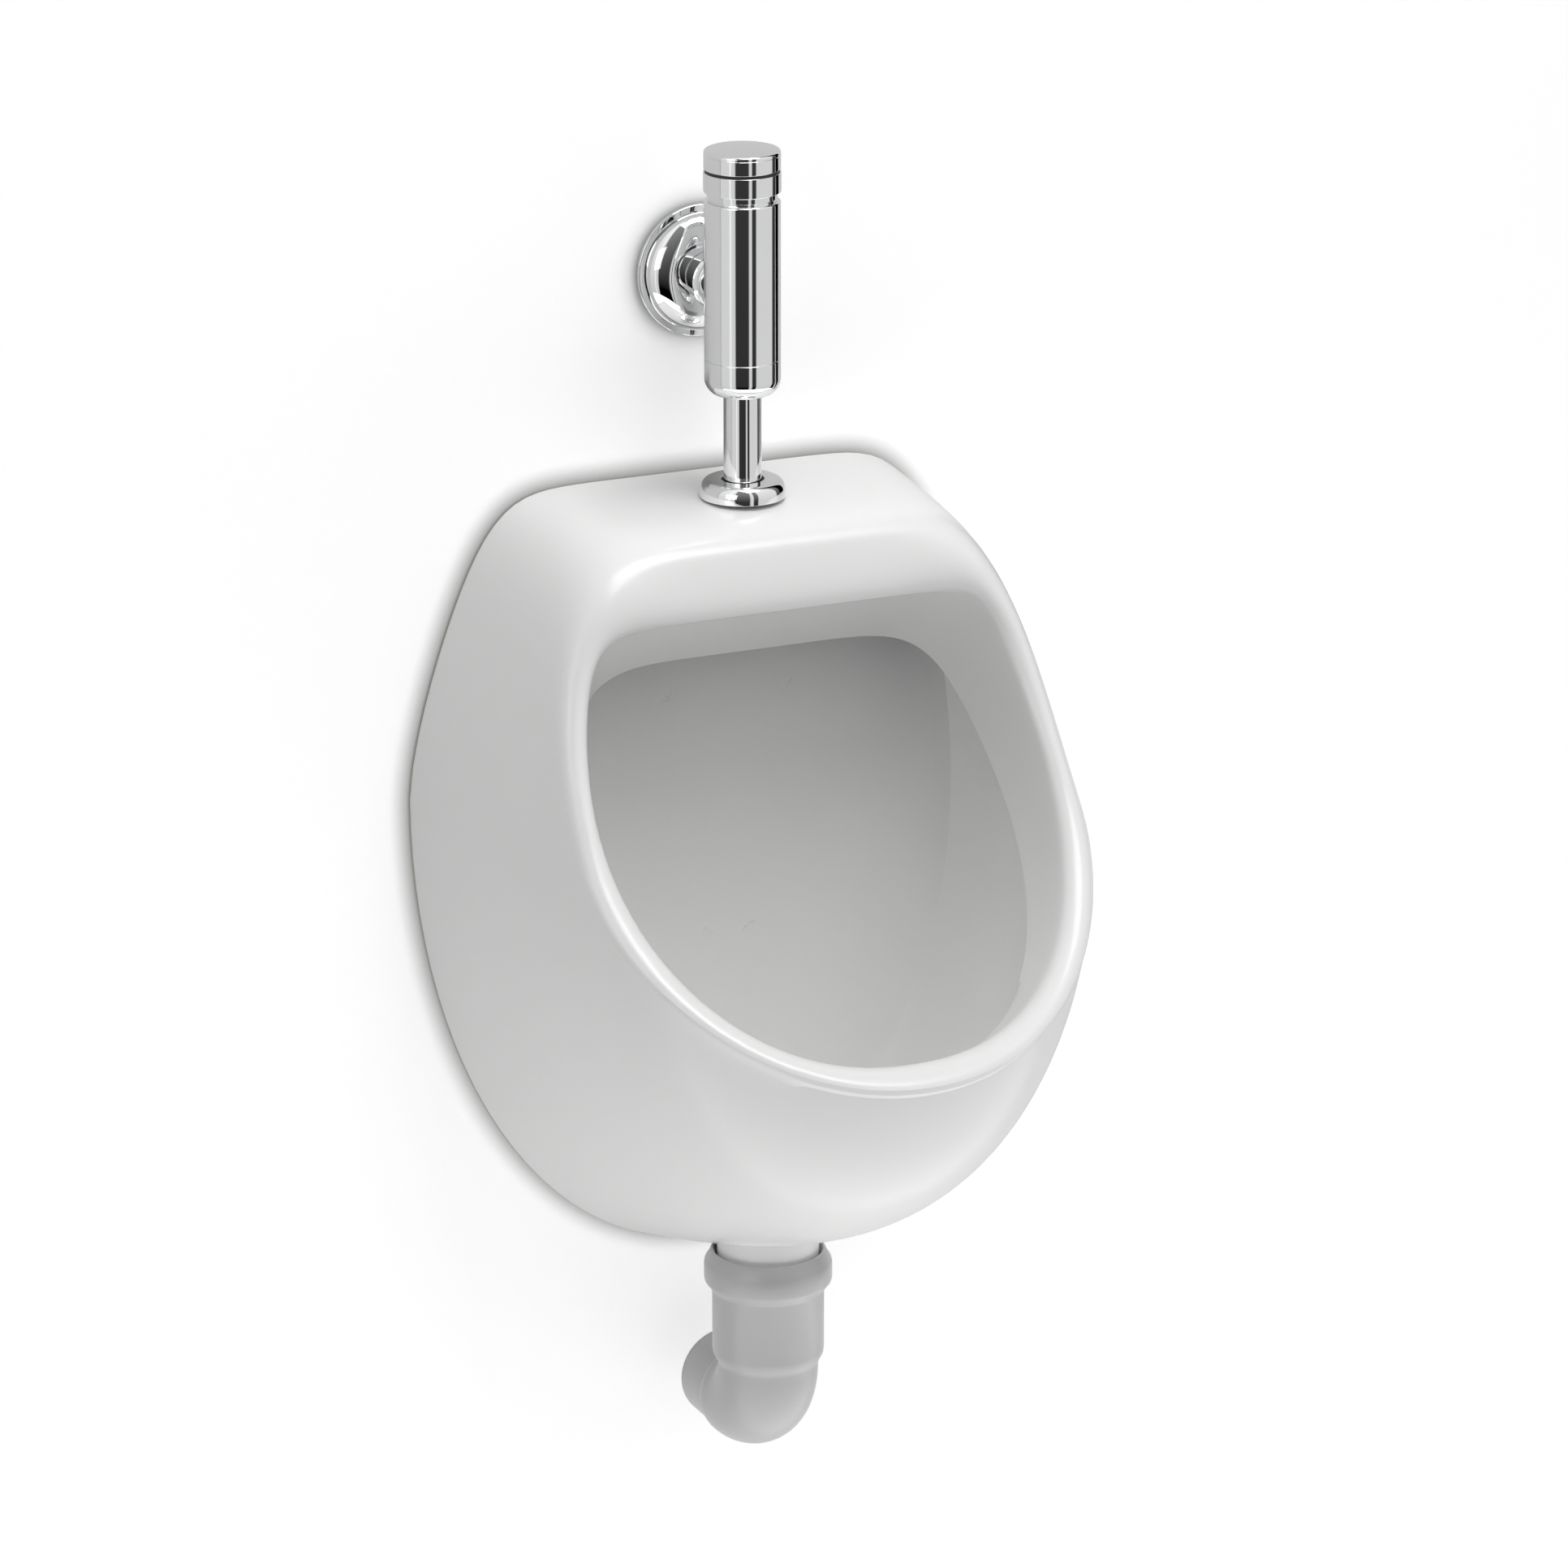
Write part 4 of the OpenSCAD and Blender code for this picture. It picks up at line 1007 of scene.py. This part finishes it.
def make_collar():
    """The collar round the arm, with bevelled edges."""
    outer = radius_of("inlet_collar")
    inner = ARM_RADIUS + COLLAR_ROOM
    near, far = (-corner.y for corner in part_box("inlet_collar"))
    corners = [(inner, far), (outer, far, COLLAR_BEVEL), (outer, near, COLLAR_BEVEL), (inner, near)]
    make_turned("inlet_collar_turned", "inlet_collar", corners, ARM_PLACE, TO_ROOM)


make_collar()

# %% [markdown]
# ## Waste elbow
# The elbow is one moulded pipe: a socket with a fat collar for its seal, a tight
# bend, and a short leg towards the wall. It is built as the mould would fill it:
# a ring of edges is extruded down the outside, spun round the bend, run to the end
# of the leg, turned over the end and brought back along the inside.

# %% The elbow's sizes
ELBOW_WALL = 2 * MM
ELBOW_SIDES = 96
BEND_STEPS = 20
BEND_RADIUS = 26.5 * MM
BEND_CENTRE = 28 * MM
WASTE_RADIUS = 25 * MM
WASTE_CONE = 5 * MM
SOCKET_RADIUS = 29.5 * MM
SOCKET_BORE = 27.9 * MM
elbow_low, elbow_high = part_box("waste_elbow")
collar_radius = radius_of("waste_elbow")
leg_level = elbow_low.z + BEND_RADIUS
bend_level = leg_level + BEND_CENTRE
spigot_axis = elbow_low.y + collar_radius
leg_start = spigot_axis + BEND_CENTRE
leg_end = elbow_high.y
mouth = elbow_high.z
print("elbow bends at", round(bend_level, 4), "and its leg ends at", round(leg_end, 4))

# %% Running and spinning a ring
def extrude_to(bm, ring, matrix):
    """Extrudes a ring of edges and transforms the new one. Returns the new edges."""
    made = bmesh.ops.extrude_edge_only(bm, edges=ring)["geom"]
    verts = [g for g in made if isinstance(g, bmesh.types.BMVert)]
    bmesh.ops.transform(bm, matrix=matrix, verts=verts)
    return [g for g in made if isinstance(g, bmesh.types.BMEdge)]


def on_socket(level):
    """The centre of the socket's ring at a level."""
    return Vector((0, spigot_axis, level))


def on_leg(place):
    """The centre of the leg's ring at a distance along Y."""
    return Vector((0, place, leg_level))


def run_along(bm, ring, centre, rings):
    """Extrudes a ring through pairs of radius and place. The first pair is where it is now."""
    for (radius, place), (next_radius, next_place) in zip(rings, rings[1:]):
        grown = Matrix.Scale(next_radius / radius, 4)
        matrix = Matrix.Translation(centre(next_place)) @ grown @ Matrix.Translation(-centre(place))
        ring = extrude_to(bm, ring, matrix)
    return ring


def spin_bend(bm, ring, angle):
    """Spins the ring round the bend's centre, by an angle in degrees."""
    made = bmesh.ops.spin(
        bm, geom=ring, cent=(0, leg_start, bend_level), axis=(1, 0, 0),
        dvec=(0, 0, 0), angle=math.radians(angle), steps=BEND_STEPS, use_duplicate=False,
    )
    return [g for g in made["geom_last"] if isinstance(g, bmesh.types.BMEdge)]


# %% The elbow's rings, as radius and place
COLLAR_TOP = 7.5 * MM
COLLAR_FOOT = 18.5 * MM
SEAL_TOP = 8 * MM
SEAL_FOOT = 17 * MM
SEAL_INSET = 2.2 * MM


def outside_rings():
    """The outside of the socket, from the mouth down to the bend."""
    top = mouth - COLLAR_TOP
    low = mouth - COLLAR_FOOT
    return [
        (SOCKET_BORE + 1.6 * MM, mouth), (SOCKET_BORE + 2.3 * MM, mouth - 0.5 * MM),
        (collar_radius - 1.6 * MM, top + 3.2 * MM), (collar_radius - 0.5 * MM, top + 1.6 * MM),
        (collar_radius, top - 0.4 * MM), (collar_radius, low + 2.6 * MM),
        (collar_radius - 0.5 * MM, low + 1.0 * MM), (collar_radius - 1.6 * MM, low - 0.4 * MM),
        (SOCKET_RADIUS + 0.5 * MM, low - 3.4 * MM), (SOCKET_RADIUS, low - 4.4 * MM),
        (SOCKET_RADIUS, bend_level + 8.5 * MM), (SOCKET_RADIUS - 0.3 * MM, bend_level + 6 * MM),
        (BEND_RADIUS + 1.2 * MM, bend_level + 3 * MM),
        (BEND_RADIUS + 0.3 * MM, bend_level + 1.2 * MM), (BEND_RADIUS, bend_level),
    ]


def leg_rings():
    """The leg: a short cone, the plain end with its rounded lip, and the same way back inside."""
    plain = leg_start + WASTE_CONE
    bore = WASTE_RADIUS - ELBOW_WALL
    return [
        (BEND_RADIUS, leg_start), (BEND_RADIUS - 0.1 * MM, leg_start + 0.8 * MM),
        (WASTE_RADIUS + 0.1 * MM, plain - 0.8 * MM), (WASTE_RADIUS, plain),
        (WASTE_RADIUS, leg_end - 0.6 * MM), (WASTE_RADIUS - 0.2 * MM, leg_end - 0.2 * MM),
        (WASTE_RADIUS - 0.6 * MM, leg_end), (bore + 0.3 * MM, leg_end), (bore, leg_end - 0.3 * MM),
        (bore, plain), (BEND_RADIUS - ELBOW_WALL, leg_start),
    ]


def inside_rings():
    """The inside of the socket, from the bend up to the mouth."""
    bore = BEND_RADIUS - ELBOW_WALL
    low = mouth - SEAL_FOOT
    top = mouth - SEAL_TOP
    room = collar_radius - SEAL_INSET
    return [
        (bore, bend_level), (bore, bend_level + 5.5 * MM),
        (SOCKET_BORE, bend_level + 7 * MM), (SOCKET_BORE, low),
        (room, low), (room, top), (SOCKET_BORE, top), (SOCKET_BORE, mouth - 3 * MM),
        (SOCKET_BORE + 0.8 * MM, mouth - 0.6 * MM), (SOCKET_BORE + 1.1 * MM, mouth),
    ]


# %% Waste elbow
ELBOW_SHARP = 40


def make_elbow():
    """The whole elbow as one closed skin."""
    bm = bmesh.new()
    radius, level = outside_rings()[0]
    circle = bmesh.ops.create_circle(bm, segments=ELBOW_SIDES, radius=radius)["verts"]
    bmesh.ops.translate(bm, vec=on_socket(level), verts=circle)
    first = list({e for v in circle for e in v.link_edges})
    ring = run_along(bm, first, on_socket, outside_rings())
    ring = spin_bend(bm, ring, 90)
    ring = run_along(bm, ring, on_leg, leg_rings())
    ring = spin_bend(bm, ring, -90)
    ring = run_along(bm, ring, on_socket, inside_rings())
    bmesh.ops.bridge_loops(bm, edges=ring + first)
    bmesh.ops.remove_doubles(bm, verts=bm.verts, dist=TOUCHING)
    bmesh.ops.recalc_face_normals(bm, faces=bm.faces)
    print("elbow open edges", sum(not e.is_manifold for e in bm.edges))
    stand_in(add_piece("waste_elbow_moulded", bm, plastic, ELBOW_SHARP), "waste_elbow")


make_elbow()

# %% [markdown]
# ## Pieces that keep their CAD shape
# The strainer, the hangers, the arm and the spring have the right shape already.
# A merged copy with smooth sides and a very small bevel gives them edges that
# shine.

# %% Softened copies
# The CAD nodes that are copied, and the width of the bevel on their edges
COPIES = {
    "inlet_arm": 0, "outlet_strainer": 0.15 * MM, "strainer_screw": 0.1 * MM,
    "hanger_left": 0.4 * MM, "hanger_right": 0.4 * MM, "hanger_pads": 0.2 * MM,
    "spud_nut": 0.3 * MM, "inlet_spreader": 0, "return_spring": 0, "elbow_seal": 0.3 * MM,
}
BEVEL_STEPS = 2
BEVEL_OVER = math.radians(40)


def make_copy(node, bevel):
    """A merged copy of a CAD node, smooth, with a small bevel on its edges."""
    bm = merged_copy(node)
    piece = add_piece(node + "_finished", bm, FINISHES[slot_of[node]])
    if bevel:
        soft = piece.modifiers.new("soft_edges", "BEVEL")
        soft.width = bevel
        soft.segments = BEVEL_STEPS
        soft.limit_method = "ANGLE"
        soft.angle_limit = BEVEL_OVER
    stand_in(piece, node)
    return piece


finished = {node: make_copy(node, bevel) for node, bevel in COPIES.items()}
print("copies", len(finished))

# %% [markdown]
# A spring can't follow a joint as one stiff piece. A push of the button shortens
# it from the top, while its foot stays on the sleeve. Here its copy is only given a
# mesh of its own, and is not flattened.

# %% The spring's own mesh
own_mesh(finished["return_spring"])

# %% [markdown]
# ## Sizes
# The dressed model has to keep the sizes of the CAD model.

# %% The CAD box
print("cad box", [round(c, 4) for corner in cad_box for c in corner])
